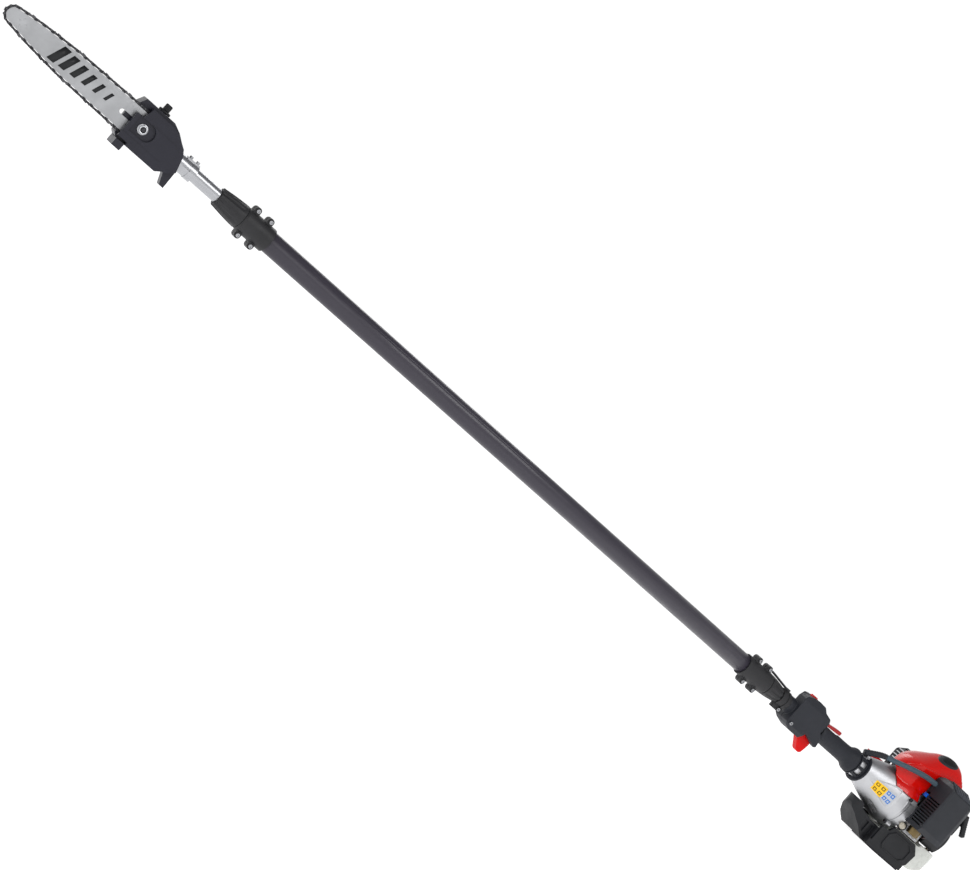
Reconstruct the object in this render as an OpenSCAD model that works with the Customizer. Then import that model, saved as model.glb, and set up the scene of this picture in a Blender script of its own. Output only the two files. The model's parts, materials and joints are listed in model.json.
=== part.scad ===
// Telescoping petrol pole saw, lying level on its tank guard.
// X runs forward to the saw tip, Y to the left side, Z up. Millimetres.

/* [Pole] */
// Outer tube diameter
outer_d = 38; // [34:0.5:42]
// Inner tube diameter
inner_d = 24; // [20:0.5:28]
// Wall of both tubes
tube_wall = 1.5; // [1:0.1:2.5]
// Front end of the outer tube
outer_front = 1810; // [1700:5:1900]
// Rear end of the inner tube when pushed in
inner_rear = 560; // [500:5:700]

/* [Saw head] */
// Plane of the guide bar, to the left of the pole axis
bar_y = 14; // [12:0.5:16]
// Guide bar thickness
bar_t = 4; // [3:0.1:5]
// Half height of the guide bar at its base
bar_r = 24; // [20:0.5:26]
// Height of the chain above the bar edge
chain_h = 5.6; // [4:0.1:7]
// Centre of the bar nose
nose_x = 2312; // [2250:1:2360]
// Bar stud position along the pole
stud_x = 2055; // [2050:1:2060]
// Drive sprocket position along the pole
sprocket_x = 2015; // [2012:1:2018]
// Drive sprocket radius
sprocket_r = 10; // [9:0.5:11]

/* [Handle] */
// Rear tube diameter
rear_d = 26; // [24:0.5:28]
// Rear grip diameter
grip_d = 37; // [34:0.5:40]
// Width of the control housing
control_w = 48; // [40:1:56]

/* [Engine] */
// Height of the drive axis above the foot
axis_z = 105; // [100:1:110]
// Largest radius of the clutch housing
bell_r = 57; // [52:0.5:60]
// Clutch drum radius
drum_r = 38; // [34:0.5:40]
// Width of the fuel tank
tank_w = 88; // [80:1:96]
// Conduit radius
hose_r = 5.5; // [4:0.1:6]

/* [Hidden] */
$fn = 64;
run = 0.05;
or = outer_d / 2;
oi = or - tube_wall;
ir = inner_d / 2;
ii = ir - tube_wall;
rr = rear_d / 2;
ri = rr - tube_wall;
hw = control_w / 2;
gr = grip_d / 2;
tw = tank_w / 2;
bolt_circle_r = 60.9;
bolt_angles = [18, 160, 200, 235, 312];
hex_r = 4.6;
hex_bore = 5.05;
shaft_r = 6.8;
collar_r = 22;
bolt_h = 25.5;

outer_tube();
guide_bushes();
upper_clamp_left();
upper_clamp_right();
lower_clamp_left();
lower_clamp_right();
clamp_screws();
lower_sleeve();
lower_tube();
harness_clamp();
harness_ring();
control_left();
control_right();
trigger();
lockout_lever();
stop_switch();
rear_grip();
antivibration_collar();
throttle_conduit();
clutch_housing();
engine_bolts();
crankcase();
engine_cylinder();
spark_plug();
engine_cover();
muffler();
muffler_cover();
carburettor();
filter_element();
filter_cover();
choke_lever();
starter_housing();
starter_pulley();
starter_rope();
starter_handle();
fuel_tank();
fuel_cap();
tank_guard();
crankshaft();
flywheel();
clutch_shoes();
clutch_drum();
lower_drive_shaft();
upper_drive_shaft();
lock_sleeve();
inner_tube();
slide_bushes();
gearbox_housing();
gearbox_bearings();
neck_clamp();
neck_bolts();
oil_tank();
oil_cap();
sprocket_shaft();
guide_bar();
nose_sprocket();
saw_chain();
chain_tensioner();
bar_cover();
bar_stud_nut();

// ---- placing helpers: heights h are above the drive axis ----

// round bar along the pole from x0 to x1
module rod(x0, x1, r) {
  translate([x0, 0, axis_z]) rotate([0, 90, 0]) cylinder(h = x1 - x0, r = r);
}

// cone along the pole
module taper(x0, x1, r0, r1) {
  translate([x0, 0, axis_z]) rotate([0, 90, 0]) cylinder(h = x1 - x0, r1 = r0, r2 = r1);
}

// tube along the pole
module pipe(x0, x1, ro, rin) {
  difference() {
    rod(x0, x1, ro);
    rod(x0 - 1, x1 + 1, rin);
  }
}

// round pin along Y
module pin_y(x, h, y0, y1, r) {
  translate([x, y0, axis_z + h]) rotate([-90, 0, 0]) cylinder(h = y1 - y0, r = r);
}

// round pin along Z
module pin_z(x, y, h0, h1, r) {
  translate([x, y, axis_z + h0]) cylinder(h = h1 - h0, r = r);
}

// block between two corners
module block(x0, x1, y0, y1, h0, h1) {
  translate([x0, y0, axis_z + h0]) cube([x1 - x0, y1 - y0, h1 - h0]);
}

// side outline (x, h) given a width from y0 to y1
module side(y0, y1) {
  translate([0, y1, axis_z]) rotate([90, 0, 0]) linear_extrude(height = y1 - y0) children();
}

// end outline (y, h) given a length from x0 to x1
module front(x0, x1) {
  translate([x0, 0, axis_z]) rotate([90, 0, 90]) linear_extrude(height = x1 - x0) children();
}

// top outline (x, y) given a height from h0 to h1
module plan(h0, h1) {
  translate([0, 0, axis_z + h0]) linear_extrude(height = h1 - h0) children();
}

// revolve an outline of (radius, x) about the drive axis
module turned() {
  translate([0, 0, axis_z]) rotate([0, 90, 0]) rotate_extrude() children();
}

// ---- pole ----

module outer_tube() {
  color("#4a4a52") pipe(498, outer_front, or, oi);
}

module guide_bushes() {
  color("#202224") {
    pipe(outer_front - 26, outer_front, oi, ir + run);
    pipe(440, 460, ri, shaft_r + run);
    pipe(196, 214, ri, shaft_r + run);
  }
}

module inner_tube() {
  color("#c8cacd") pipe(inner_rear, 1972, ir, ii);
}

module slide_bushes() {
  color("#d8d8d0") {
    pipe(inner_rear + 2, inner_rear + 42, oi - run, ir);
    pipe(1900, 1925, ii, hex_r + 0.4);
  }
}

// one lug of a pole clamp, on the left side
module clamp_lug(x, s) {
  pin_y(x, s * bolt_h, 0.2, 10, 6);
  translate([x - 6, 0.2, axis_z + min(0, s * bolt_h)]) cube([12, 9.8, bolt_h]);
}

// left half of a pole clamp from x0 to x1
module clamp_half(x0, x1, lugs, step) {
  difference() {
    union() {
      intersection() {
        union() {
          rod(x0, x1 - 4, collar_r);
          taper(x1 - 4, x1, collar_r, collar_r - 1.5);
        }
        block(x0, x1, 0.2, 30, -30, 30);
      }
      for (x = lugs) {
        clamp_lug(x, 1);
        clamp_lug(x, -1);
      }
    }
    rod(x0 - 1, step, or);
    if (step < x1) rod(step - 1, x1 + 1, 16.4);
    for (x = lugs) {
      pin_y(x, bolt_h, -1, 12, 2.1);
      pin_y(x, -bolt_h, -1, 12, 2.1);
    }
  }
}

module upper_clamp_left() {
  color("#47474a") clamp_half(1778, 1837, [1797, 1825], 1811);
}

module upper_clamp_right() {
  color("#47474a") mirror([0, 1, 0]) clamp_half(1778, 1837, [1797, 1825], 1811);
}

module lower_half() {
  translate([1000, 0, 0]) mirror([1, 0, 0]) clamp_half(465, 535, [485, 515], 536);
}

module lower_clamp_left() {
  color("#47474a") lower_half();
}

module lower_clamp_right() {
  color("#47474a") mirror([0, 1, 0]) lower_half();
}

// socket screw across the pole with a nut on the far side
module cross_screw(x, h, y) {
  difference() {
    union() {
      pin_y(x, h, -y - 1, y, 2);
      pin_y(x, h, y, y + 3.5, 3.4);
      translate([x, -y - 3.2, axis_z + h]) rotate([-90, 0, 0]) cylinder(h = 3.2, r = 3.9, $fn = 6);
    }
    translate([x, y + 1.2, axis_z + h]) rotate([-90, 0, 0]) cylinder(h = 4, r = 1.9, $fn = 6);
  }
}

module clamp_screws() {
  color("#b9bcc0") {
    for (x = [1797, 1825, 485, 515]) {
      cross_screw(x, bolt_h, 10);
      cross_screw(x, -bolt_h, 10);
    }
    cross_screw(410, -20.5, 8);
    cross_screw(378, -24, hw);
    pin_y(318, 25, -hw - 1, 11.5, 2);
    pin_y(318, 25, -hw - 3.5, -hw, 3.4);
  }
}

module lock_sleeve() {
  color("#3c3c3f") difference() {
    union() {
      taper(1837.4, 1889, collar_r - 0.4, 17);
      rod(1814, 1837.5, 16);
    }
    rod(1800, 1900, ir + 0.35);
    for (i = [0:9])
      translate([1863, 0, axis_z]) rotate([i * 36 + 18, 0, 0]) translate([0, 0, 21.6])
        rotate([0, 95.1, 0]) cylinder(h = 46, r = 2.6, center = true);
  }
}

module lower_sleeve() {
  color("#3c3c3f") difference() {
    union() {
      taper(427, 464.6, 16.5, 21.5);
      rod(464.5, 497.5, or);
    }
    rod(400, 510, rr);
    for (i = [0:9])
      translate([445, 0, axis_z]) rotate([i * 36 + 18, 0, 0]) translate([0, 0, 21])
        rotate([0, 82.4, 0]) cylinder(h = 32, r = 2.6, center = true);
  }
}

module lower_tube() {
  color("#55565a") pipe(120, 497.5, rr, ri);
}

// ---- harness point ----

module harness_clamp() {
  color("#3a3b3e") difference() {
    union() {
      rod(402, 426, 17.2);
      rod(406, 412, 18.4);
      block(402, 422, -8, 8, -25, -12);
      block(414, 422, -6, 6, 12, 22);
    }
    rod(395, 430, rr);
    pin_y(410, -20.5, -10, 10, 2);
    pin_y(418, 19, -10, 10, 1.7);
    block(395, 430, -0.8, 0.8, -30, -10);
  }
}

module harness_ring() {
  ang = atan2(7.5, 57);
  len = sqrt(7.5 * 7.5 + 57 * 57);
  color("#4a4c50") translate([418, 0, axis_z + 19]) rotate([0, -ang, 0]) {
    for (x = [0, len])
      translate([x, -9.6, 0]) rotate([-90, 0, 0]) cylinder(h = 19.2, r = 1.4);
    for (y = [-8, 8])
      translate([0, y, 0]) rotate([0, 90, 0]) cylinder(h = len, r = 1.2);
  }
}

// ---- control handle ----

module control_outline() {
  polygon([[388, -26], [388, 30], [384, 36], [366, 42], [350, 43.5], [333, 42.5], [326, 35],
    [311, 31], [307, 23], [309, 0], [299, -10], [295, -28], [298, -31], [334, -20],
    [338, -36.5], [366, -36.5], [381, -32]]);
}

module control_body(screw_depth) {
  difference() {
    intersection() {
      side(-hw, hw) control_outline();
      front(290, 392) polygon([[0.1, -40], [14, -40], [hw, -27], [hw, 28], [15, 46], [0.1, 46]]);
    }
    rod(280, 400, rr);
    rod(280, 301.2, gr + run);
    block(288, 339, -9.5, 9.5, -60, -12.5);
    block(342, 369, -6.5, 6.5, 33, 50);
    block(296, 309, -7.5, 7.5, 12.5, 50);
    pin_y(328, -19, -12, 12, 2.45);
    pin_y(378, -24, -30, 30, 2);
    pin_y(318, 25, -30, screw_depth, 2);
  }
}

// round boss at the front of one housing half
module control_boss(x0) {
  difference() {
    intersection() {
      rod(x0, 401.5, 17);
      block(x0, 402, 0.1, 20, -20, 20);
    }
    rod(x0 - 1, 410, rr);
  }
}

module control_left() {
  color("#3a3c44") {
    control_body(11.5);
    control_boss(386);
  }
}

module control_right() {
  color("#3a3c44") {
    difference() {
      mirror([0, 1, 0]) control_body(30);
      side(-40, 1) polygon([[372, 60], [372, 16], [386, 0], [400, 0], [400, 60]]);
    }
    mirror([0, 1, 0]) control_boss(371);
    pin_y(328, -19, -12, 11.9, 2.4);
    pin_y(303.5, 20, -7.6, 7.4, 1.5);
  }
}

module trigger() {
  color("#d90000") difference() {
    side(-8.8, 8.8) polygon([[333, -16], [336, -30], [333.5, -34.5], [316, -55], [312, -57.5],
      [306, -57.5], [302, -54], [298.5, -33], [300, -23], [320, -15.5]]);
    pin_y(328, -19, -20, 20, 2.45 + run);
  }
}

module lockout_lever() {
  color("#a01820") difference() {
    side(-6.8, 6.8) polygon([[306.5, 17.5], [306.5, 21.5], [300, 22.5], [258, 25.4], [256, 22],
      [258, 19.2], [298, 17]]);
    pin_y(303.5, 20, -20, 20, 1.5 + run);
  }
}

module stop_switch() {
  color("#b01a1e") {
    block(352, 366, -5.8, 5.8, 38, 43.8);
    for (x = [354, 358, 362])
      block(x, x + 2, -5.8, 5.8, 43.7, 45.4);
  }
}

module rear_grip() {
  color("#3a3c44") difference() {
    union() {
      rod(209, 301, gr);
      taper(196, 209.1, 25.5, gr);
      rod(190, 196.1, 25.5);
    }
    rod(180, 310, rr);
    block(289, 302, -10, 10, -30, -12.6);
    block(254, 302, -7.3, 7.3, 13.4, 30);
  }
}

module antivibration_collar() {
  color("#26272a") difference() {
    union() {
      pipe(165.2, 168.6, 31, 18.5);
      pipe(168.5, 189.8, 26, 18.5);
    }
    for (i = [0:7])
      translate([179.3, 0, axis_z]) rotate([i * 45 + 22.5, 0, 0]) translate([-7.5, -7, 15])
        cube([15, 14, 20]);
    block(158, 195, -6, 12, 22, 40);
  }
}

// ---- engine ----

hose_path = [[181, 3, 29], [171, 5, 35], [153, 15, 47], [134, 29, 54.5], [112, 42, 62.5],
  [90, 49, 68.5], [68, 51, 72.5], [52, 52, 74], [37, 52, 74.5]];

function spline(p, i, t) =
  let (a = p[max(i - 1, 0)], b = p[i], c = p[i + 1], d = p[min(i + 2, len(p) - 1)])
  0.5 * (2 * b + (c - a) * t + (2 * a - 5 * b + 4 * c - d) * t * t
    + (3 * b - a - 3 * c + d) * t * t * t);
function unit(v) = v / norm(v);

// swept round cord through the given points
module cord(path, r, steps, n) {
  pts = [for (i = [0:len(path) - 2], k = [0:steps - 1]) spline(path, i, k / steps),
    path[len(path) - 1]];
  m = len(pts);
  rings = [for (i = [0:m - 1])
    let (t = unit(pts[min(i + 1, m - 1)] - pts[max(i - 1, 0)]),
      u = unit(cross(t, [0, 1, 0])), v = cross(t, u))
    for (j = [0:n - 1]) pts[i] + r * cos(j * 360 / n) * u + r * sin(j * 360 / n) * v];
  faces = concat([[for (j = [0:n - 1]) j]],
    [for (i = [0:m - 2], j = [0:n - 1])
      [i * n + j, (i + 1) * n + j, (i + 1) * n + (j + 1) % n, i * n + (j + 1) % n]],
    [[for (j = [n - 1:-1:0]) (m - 1) * n + j]]);
  translate([0, 0, axis_z]) polyhedron(points = rings, faces = faces);
}

module throttle_conduit() {
  color("#5b6b75") cord(hose_path, hose_r, 3, 12);
}

module clutch_housing() {
  color("#b9babd") difference() {
    union() {
      turned() polygon([[18.4, 186], [18.4, 165], [28.5, 165], [38.5, 130], [47, 100], [54, 75],
        [bell_r, 62], [bell_r, 56.2], [53, 56.2], [50.5, 75], [43.5, 100], [34.5, 130],
        [26, 153], [rr, 153], [rr, 186]]);
      intersection() {
        difference() {
          side(-16, 16) polygon([[142, 24], [128, 43], [118, 50], [92, 50], [92, 40]]);
          turned() polygon([[0, 156], [28, 153], [34.5, 130], [43.5, 100], [50, 80], [0, 80]]);
        }
        block(90, 150, -16, 16, 20, 52);
      }
    }
    for (i = [0:4])
      translate([82 + i * 9, 30, axis_z - 60 + i * 3]) rotate([20, 0, 0]) cube([3, 30, 22]);
  }
}

module engine_bolts() {
  color("#202123") {
    for (a = bolt_angles)
      translate([0, 0, axis_z]) rotate([a, 0, 0]) translate([50, bolt_circle_r, 0])
        rotate([0, 90, 0]) {
          cylinder(h = 12, r = 2);
          translate([0, 0, 12]) cylinder(h = 4, r = 3.6);
        }
  }
}

module bolt_ears() {
  for (a = bolt_angles)
    translate([0, 0, axis_z]) rotate([a, 0, 0]) translate([50.2, bolt_circle_r, 0])
      rotate([0, 90, 0]) cylinder(h = 11.8, r = 5);
}

module crankcase() {
  color("#8f9195") difference() {
    union() {
      block(-37.2, 42, -34, 34, -38, 41);
      rod(36, 56, bell_r);
      difference() {
        bolt_ears();
        rod(56, 70, bell_r + 0.1);
      }
    }
    rod(44, 57, 51);
    rod(-20, 32, 28);
    rod(-50, 60, 8 + run);
    block(35, 44.4, 47.6, 60, 19.4, 60);
    pin_z(8, 0, -10, 42, 17);
    for (a = bolt_angles)
      translate([0, 0, axis_z]) rotate([a, 0, 0]) translate([49.9, bolt_circle_r, 0])
        rotate([0, 90, 0]) cylinder(h = 20, r = 2);
  }
}

module engine_cylinder() {
  color("#9a9da1") difference() {
    union() {
      pin_z(8, 0, 41.2, 108, 24);
      for (i = [0:7])
        block(-18, i < 2 ? 34 : 76 - max(0, i - 3) * 8, -44 + max(0, i - 4) * 3,
          36 - max(0, i - 4) * 3, 46 + i * 7, 48 + i * 7);
      for (i = [2:5])
        block(52, 86 - abs(i - 3) * 3, -49.2, -28, 46 + i * 7, 48 + i * 7);
      block(56, 60, -46, -30, 60, 82);
    }
    pin_z(8, 0, 30, 98, 17);
    pin_z(8, 0, 97, 109, 5);
  }
}

module spark_plug() {
  color("#e4e2dc") {
    pin_z(8, 0, 96, 110, 4.8);
    pin_z(8, 0, 110, 126, 7);
  }
}

module cover_outer(t) {
  intersection() {
    side(-60, 60) polygon([[122 - t, 20], [120 - t, 52], [108 - t, 74 - t], [78, 95 - t],
      [40, 118 - t], [22, 130 - t], [6, 133.2 - t], [-8, 134 - t], [-18 + t * 0.5, 132.5 - t],
      [-27 + t, 113 - t], [-35 + t, 108.5 - t], [-40 + t, 102 - t], [-40 + t, 20]]);
    plan(20, 140) polygon([[-45, -48 + t], [62, -48 + t], [92, -24 + t], [118, -2 + t * 0.5],
      [122, 10], [112, 28 - t], [95, 38 - t], [75, 42 - t], [-45, 42 - t]]);
    front(-60, 130) polygon([[-48 + t, 20], [-48 + t, 78], [-36 + t, 108], [-14, 134 - t],
      [14, 134 - t], [32 - t, 112], [42 - t, 82], [42 - t, 20]]);
  }
}

module engine_cover() {
  color("#d01005") difference() {
    cover_outer(0);
    cover_outer(2.5);
    block(-60, 130, -60, 60, 10, 23);
    block(40, 130, -60, 12, 10, 57.5);
    block(30, 130, -60, -26, 10, 84);
    block(-60, 130, -60, -30, 10, 40);
    turned() polygon([[0, 200], [28.5, 160], [39, 129], [48, 99.5], [55, 74], [58.2, 62],
      [58.2, 35], [0, 35]]);
    block(88, 146, -17, 17, 20, 51);
    side(-60, 60) polygon([[99, 10], [103, 25], [112, 44], [124, 58], [140, 58], [140, 10]]);
    block(-16, 30, 36, 60, 10, 48);
    block(-6, 24, -60, -40, 50, 78);
  }
}

module muffler() {
  color("#6a6c70") {
    block(-18, 39, -83.5, -54, 34, 84);
    block(-4, 22, -54.1, -46.2, 52, 76);
  }
}

module muffler_cover() {
  color("#2b2c2f") difference() {
    intersection() {
      side(-96, -50) polygon([[-28, 26], [-28, 82], [-16, 94], [34, 94], [48, 82], [48, 40],
        [38, 26]]);
      front(-40, 80) polygon([[-50, 20], [-86, 20], [-96, 34], [-96, 78], [-84, 96], [-50, 96]]);
    }
    block(-25, 45, -93, -49, 29, 81);
    block(-20, 40, -84, -49, 28, 91);
    for (i = [0:4])
      block(-18 + i * 12, -12 + i * 12, -100, -80, 44, 72);
    for (i = [0:2])
      block(42, 52, -88, -56, 46 + i * 10, 50 + i * 10);
  }
}

module carburettor() {
  color("#a8894e") {
    block(-6, 25.5, 36.2, 42.1, 12, 44);
    block(-12, 25.5, 42, 64, 10, 46);
    pin_z(6, 55, -32, 10.1, 12);
    pin_z(-9, 55, -30, 10.1, 4);
  }
}

module filter_element() {
  color("#50524c") difference() {
    block(-22, 30, 66, 90, 12, 82);
    pin_y(9, 28, 60, 80, 9);
  }
}

module filter_shell(t) {
  intersection() {
    side(40, 110) polygon([[39 - t, -17.5 + t], [39 - t, 88 - t], [30, 97 - t], [10, 102 - t],
      [-14, 102 - t], [-24 + t, 92], [-34 + t, 64], [-33 + t, 6], [-28 + t, -17.5 + t]]);
    front(-40, 45) polygon([[45 - t * 4, -17.5 + t], [45 - t * 4, 92 - t], [58, 102 - t],
      [70, 101 - t], [105 - t, 86 - t], [105 - t, -6], [98 - t, -17.5 + t]]);
    plan(-30, 110) polygon([[39 - t, 45 - t * 4], [39 - t, 102 - t], [36 - t, 105 - t],
      [-20, 105 - t], [-34 + t, 98 - t], [-34 + t, 45 - t * 4]]);
  }
}

module filter_cover() {
  color("#3d3f44") difference() {
    filter_shell(0);
    filter_shell(2.5);
    for (i = [0:9])
      block(30, 45, 61, 99.5, 46.5 - i * 6, 49.6 - i * 6);
    block(30, 45, 47.5, 57.5, 6, 56);
    rod(35.9, 57, bell_r + 0.1);
    translate([30, 52, axis_z + 74.5]) rotate([0, 90, 0]) cylinder(h = 15, r = hose_r + 0.1);
    block(-24, 24, 40, 76, -30, -10);
    for (i = [0:7], j = [0:3])
      translate([-20 + i * 6.5, 72 + j * 7, axis_z + 80]) cube([4, 4.5, 30]);
  }
}

module choke_lever() {
  color("#1f6fd6") {
    block(32, 43, 48.5, 56.5, 42.5, 50.5);
    block(26, 33, 49.5, 55.5, 40, 53);
  }
}

module starter_housing() {
  color("#33353a") difference() {
    union() {
      intersection() {
        rod(-84, -41, 48);
        block(-90, -40, -50, 50, -31.5, 50);
      }
      front(-84, -41) polygon([[-42, 20], [-40, 70], [-26, 86], [26, 86], [42, 70], [46, 40],
        [46, 20]]);
    }
    rod(-80.5, -40, 33);
    front(-90, -40) polygon([[-34, 52], [-30, 70], [-22, 78], [22, 78], [32, 70], [36, 52]]);
    for (i = [0:8])
      translate([-90, 0, axis_z]) rotate([i * 40, 0, 0]) translate([0, -2, 12])
        cube([12, 4, 16]);
    translate([-74, 20, axis_z + 49.5]) rotate([-90, 0, 0]) cylinder(h = 40, r = 3.2);
    block(-80.5, -67, 0, 22, 20, 55);
  }
}

module starter_pulley() {
  color("#44464b") difference() {
    rod(-79.5, -68.5, 32);
    turned() polygon([[33, -77.5], [26, -76], [26, -72], [33, -70.5]]);
    rod(-90, -60, 6);
  }
}

module starter_rope() {
  color("#1d1e20") pin_y(-74, 49.5, 24, 61, 1.6);
}

module starter_handle() {
  color("#1f2023") difference() {
    union() {
      translate([-74, 66, axis_z + 49.5]) rotate([0, 34, 0]) cylinder(h = 46, r = 6.5, center = true);
      pin_y(-74, 49.5, 52, 62, 5);
    }
    pin_y(-74, 49.5, 50, 61, 1.6);
  }
}

module fuel_tank() {
  color("#dcdedb") difference() {
    intersection() {
      side(-tw, tw) polygon([[-96, -52], [-92, -34], [-46, -34], [-42, -40], [30, -40], [30, -58],
        [62, -62], [56, -80], [38, -89], [-60, -89], [-84, -75]]);
      plan(-95, -30) polygon([[-96, -34], [-84, -tw], [50, -tw], [62, -34], [62, 34], [50, tw],
        [-84, tw], [-96, 34]]);
    }
    intersection() {
      side(-tw + 2.5, tw - 2.5) polygon([[-93, -53], [-89.5, -36.5], [-47, -36.5], [-44, -42.5],
        [27.5, -42.5], [27.5, -60.5], [58, -64], [54, -78], [37, -86.5], [-59, -86.5],
        [-81.5, -73.5]]);
      plan(-95, -30) polygon([[-93, -33], [-82, -tw + 2.5], [49, -tw + 2.5], [59, -33], [59, 33],
        [49, tw - 2.5], [-82, tw - 2.5], [-93, 33]]);
    }
    pin_y(-66, -62, -60, -30, 13);
  }
}

module fuel_cap() {
  color("#1d1e20") difference() {
    union() {
      pin_y(-66, -62, -54, -44.4, 17);
      pin_y(-66, -62, -44.5, -38, 12.6);
    }
    for (i = [0:11])
      translate([-66, -55, axis_z - 62]) rotate([0, i * 30, 0]) translate([17.4, 0, 0])
        rotate([-90, 0, 0]) cylinder(h = 8, r = 1.6);
  }
}

module tank_guard() {
  color("#2a2b2e") difference() {
    union() {
      for (s = [-1, 1])
        side(min(s * 44.3, s * 50), max(s * 44.3, s * 50)) polygon([[66, -54], [46, -54],
          [38, -41], [-27, -41], [-45, -58], [-42, -84], [-32, -95], [66, -95]]);
      block(-38, 72, -50, 50, -102, -89.3);
      difference() {
        intersection() {
          side(-37, 37) polygon([[64, -102], [80, -102], [90, -96], [112, -79], [126, -67],
            [129, -61], [129, -46], [118, -46], [113, -56], [98, -60], [84, -63], [64, -63]]);
          plan(-110, -40) polygon([[60, -37], [101, -37], [120, -24], [129, -8], [129, 8],
            [120, 24], [101, 37], [60, 37]]);
        }
        intersection() {
          side(-31.5, 31.5) polygon([[60, -97], [79, -97], [88, -91], [109, -74.5], [122, -64],
            [124, -60], [124, -53], [117, -53], [117, -40], [60, -40]]);
          plan(-110, -30) polygon([[60, -31.5], [98, -31.5], [116, -20], [124, -6], [124, 6],
            [116, 20], [98, 31.5], [60, 31.5]]);
        }
        for (s = [-1, 1])
          side(min(s * 34, s * 40), max(s * 34, s * 40)) {
            polygon([[73, -97], [79, -97], [82, -94.5], [82, -68], [73, -68]]);
            polygon([[87, -91], [97, -83.5], [97, -65.5], [87, -67.5]]);
          }
      }
      block(64, 70, -46, 46, -95, -62.5);
      block(-36.5, 36.5, -45, 45, -105, -101.5);
    }
    side(-45, 45) polygon([[62.5, -60], [62.5, -70], [56.5, -80], [40, -89.2], [0, -89.2],
      [0, -60]]);
  }
}

module crankshaft() {
  color("#a4a7ab") {
    rod(-46, -6, 8);
    rod(18, 62, 8);
    rod(-16, -5.9, 26);
    rod(17.9, 28, 26);
    translate([0, 0, 14]) rod(-6, 18, 5);
  }
}

module flywheel() {
  color("#8a8d91") difference() {
    union() {
      rod(46, 56, 46);
      rod(46, 62, 18);
      for (i = [0:11])
        translate([55.9, 0, axis_z]) rotate([i * 30 + 15, 0, 0]) translate([0, -1.5, 20])
          cube([4, 3, 25]);
    }
    rod(40, 70, 8);
  }
}

module clutch_shoes() {
  color("#75787c") {
    difference() {
      pipe(66, 84, 33.5, 20);
      block(60, 90, -4, 4, -40, 40);
    }
    for (s = [-1, 1])
      translate([0, s * 27, 0]) rod(56.1, 66.1, 4);
  }
}

module clutch_drum() {
  color("#7d8084") difference() {
    union() {
      difference() {
        rod(64, 104, drum_r);
        rod(60, 100.5, drum_r - 2.5);
      }
      rod(94, 118, 11.3);
    }
    rod(60, 130, shaft_r);
  }
}

module lower_drive_shaft() {
  color("#a9acb0") difference() {
    rod(90, 1690, shaft_r);
    translate([470, 0, axis_z]) rotate([0, 90, 0]) cylinder(h = 1300, r = hex_bore, $fn = 6);
  }
}

module upper_drive_shaft() {
  color("#b4b7bb") {
    translate([480, 0, axis_z]) rotate([0, 90, 0]) cylinder(h = 1502, r = hex_r, $fn = 6);
    rod(1981.9, 2002.6, 5);
    taper(2002.5, 2007, 7.6, 4.8);
  }
}

// ---- saw head ----

// part of an outline between two circles on the axis
module link2d(x1, r1, x2, r2) {
  s = (r2 - r1) / (x1 - x2);
  c = sqrt(1 - s * s);
  a = r1 - 0.03;
  b = r2 - 0.03;
  polygon([[x1 + a * s, a * c], [x2 + b * s, b * c], [x2 + b * s, -b * c],
    [x1 + a * s, -a * c]]);
}

module disc2d(x, r) {
  translate([x, 0]) circle(r = r);
}

module blade2d(t) {
  disc2d(nose_x, 11.4 + t);
  link2d(nose_x, 11.4 + t, nose_x - 45, 17 + t);
  disc2d(nose_x - 45, 17 + t);
  link2d(nose_x - 45, 17 + t, nose_x - 108, 21.6 + t);
  disc2d(nose_x - 108, 21.6 + t);
  link2d(nose_x - 108, 21.6 + t, stud_x + 15, bar_r + t);
  disc2d(stud_x + 15, bar_r + t);
}

// the line the chain runs on, moved out by t
module loop2d(t) {
  blade2d(t);
  link2d(stud_x + 15, bar_r + t, sprocket_x, sprocket_r + t);
  disc2d(sprocket_x, sprocket_r + t);
}

module guide_bar() {
  color("#a9abad") difference() {
    side(bar_y - bar_t / 2, bar_y + bar_t / 2) difference() {
      union() {
        blade2d(0);
        polygon([[stud_x + 15, 23.9], [stud_x - 19, 15], [stud_x - 19, -15],
          [stud_x + 15, -23.9]]);
      }
      translate([stud_x - 6, -4.05]) square([47, 8.1]);
      disc2d(stud_x - 6, 4.05);
      disc2d(stud_x + 41, 4.05);
      translate([stud_x + 11, 14.5]) circle(r = 2.6);
      translate([stud_x + 11, -14.5]) circle(r = 2.6);
    }
    side(bar_y - 0.8, bar_y + 0.8) difference() {
      loop2d(3);
      loop2d(-4.1);
    }
    difference() {
      pin_y(nose_x, 0, bar_y - 0.85, bar_y + 0.85, 9.5);
      pin_y(nose_x, 0, bar_y - 1, bar_y + 1, 2.4);
    }
  }
}

module nose_sprocket() {
  color("#76797d") difference() {
    pin_y(nose_x, 0, bar_y - 0.5, bar_y + 0.5, 7);
    pin_y(nose_x, 0, bar_y - 2, bar_y + 2, 2.45);
    for (i = [0:8])
      translate([nose_x, bar_y - 2, axis_z]) rotate([0, i * 40, 0]) translate([7.4, 0, 0])
        rotate([-90, 0, 0]) cylinder(h = 4, r = 1.5);
  }
}

module saw_chain() {
  color("#2b2b2d") {
    side(bar_y - 2.2, bar_y + 2.2) difference() {
      loop2d(chain_h);
      loop2d(0.35);
    }
    side(bar_y - 0.55, bar_y + 0.55) difference() {
      loop2d(0.6);
      loop2d(-3.8);
    }
  }
}

module head_outline() {
  polygon([[2082, -31], [2082, 16], [1984, 16], [1976, 12], [1972, 0], [1968, -12],
    [1970, -22], [1983, -28], [1990, -30], [1999, -36.5], [2076, -36.5]]);
}

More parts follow.
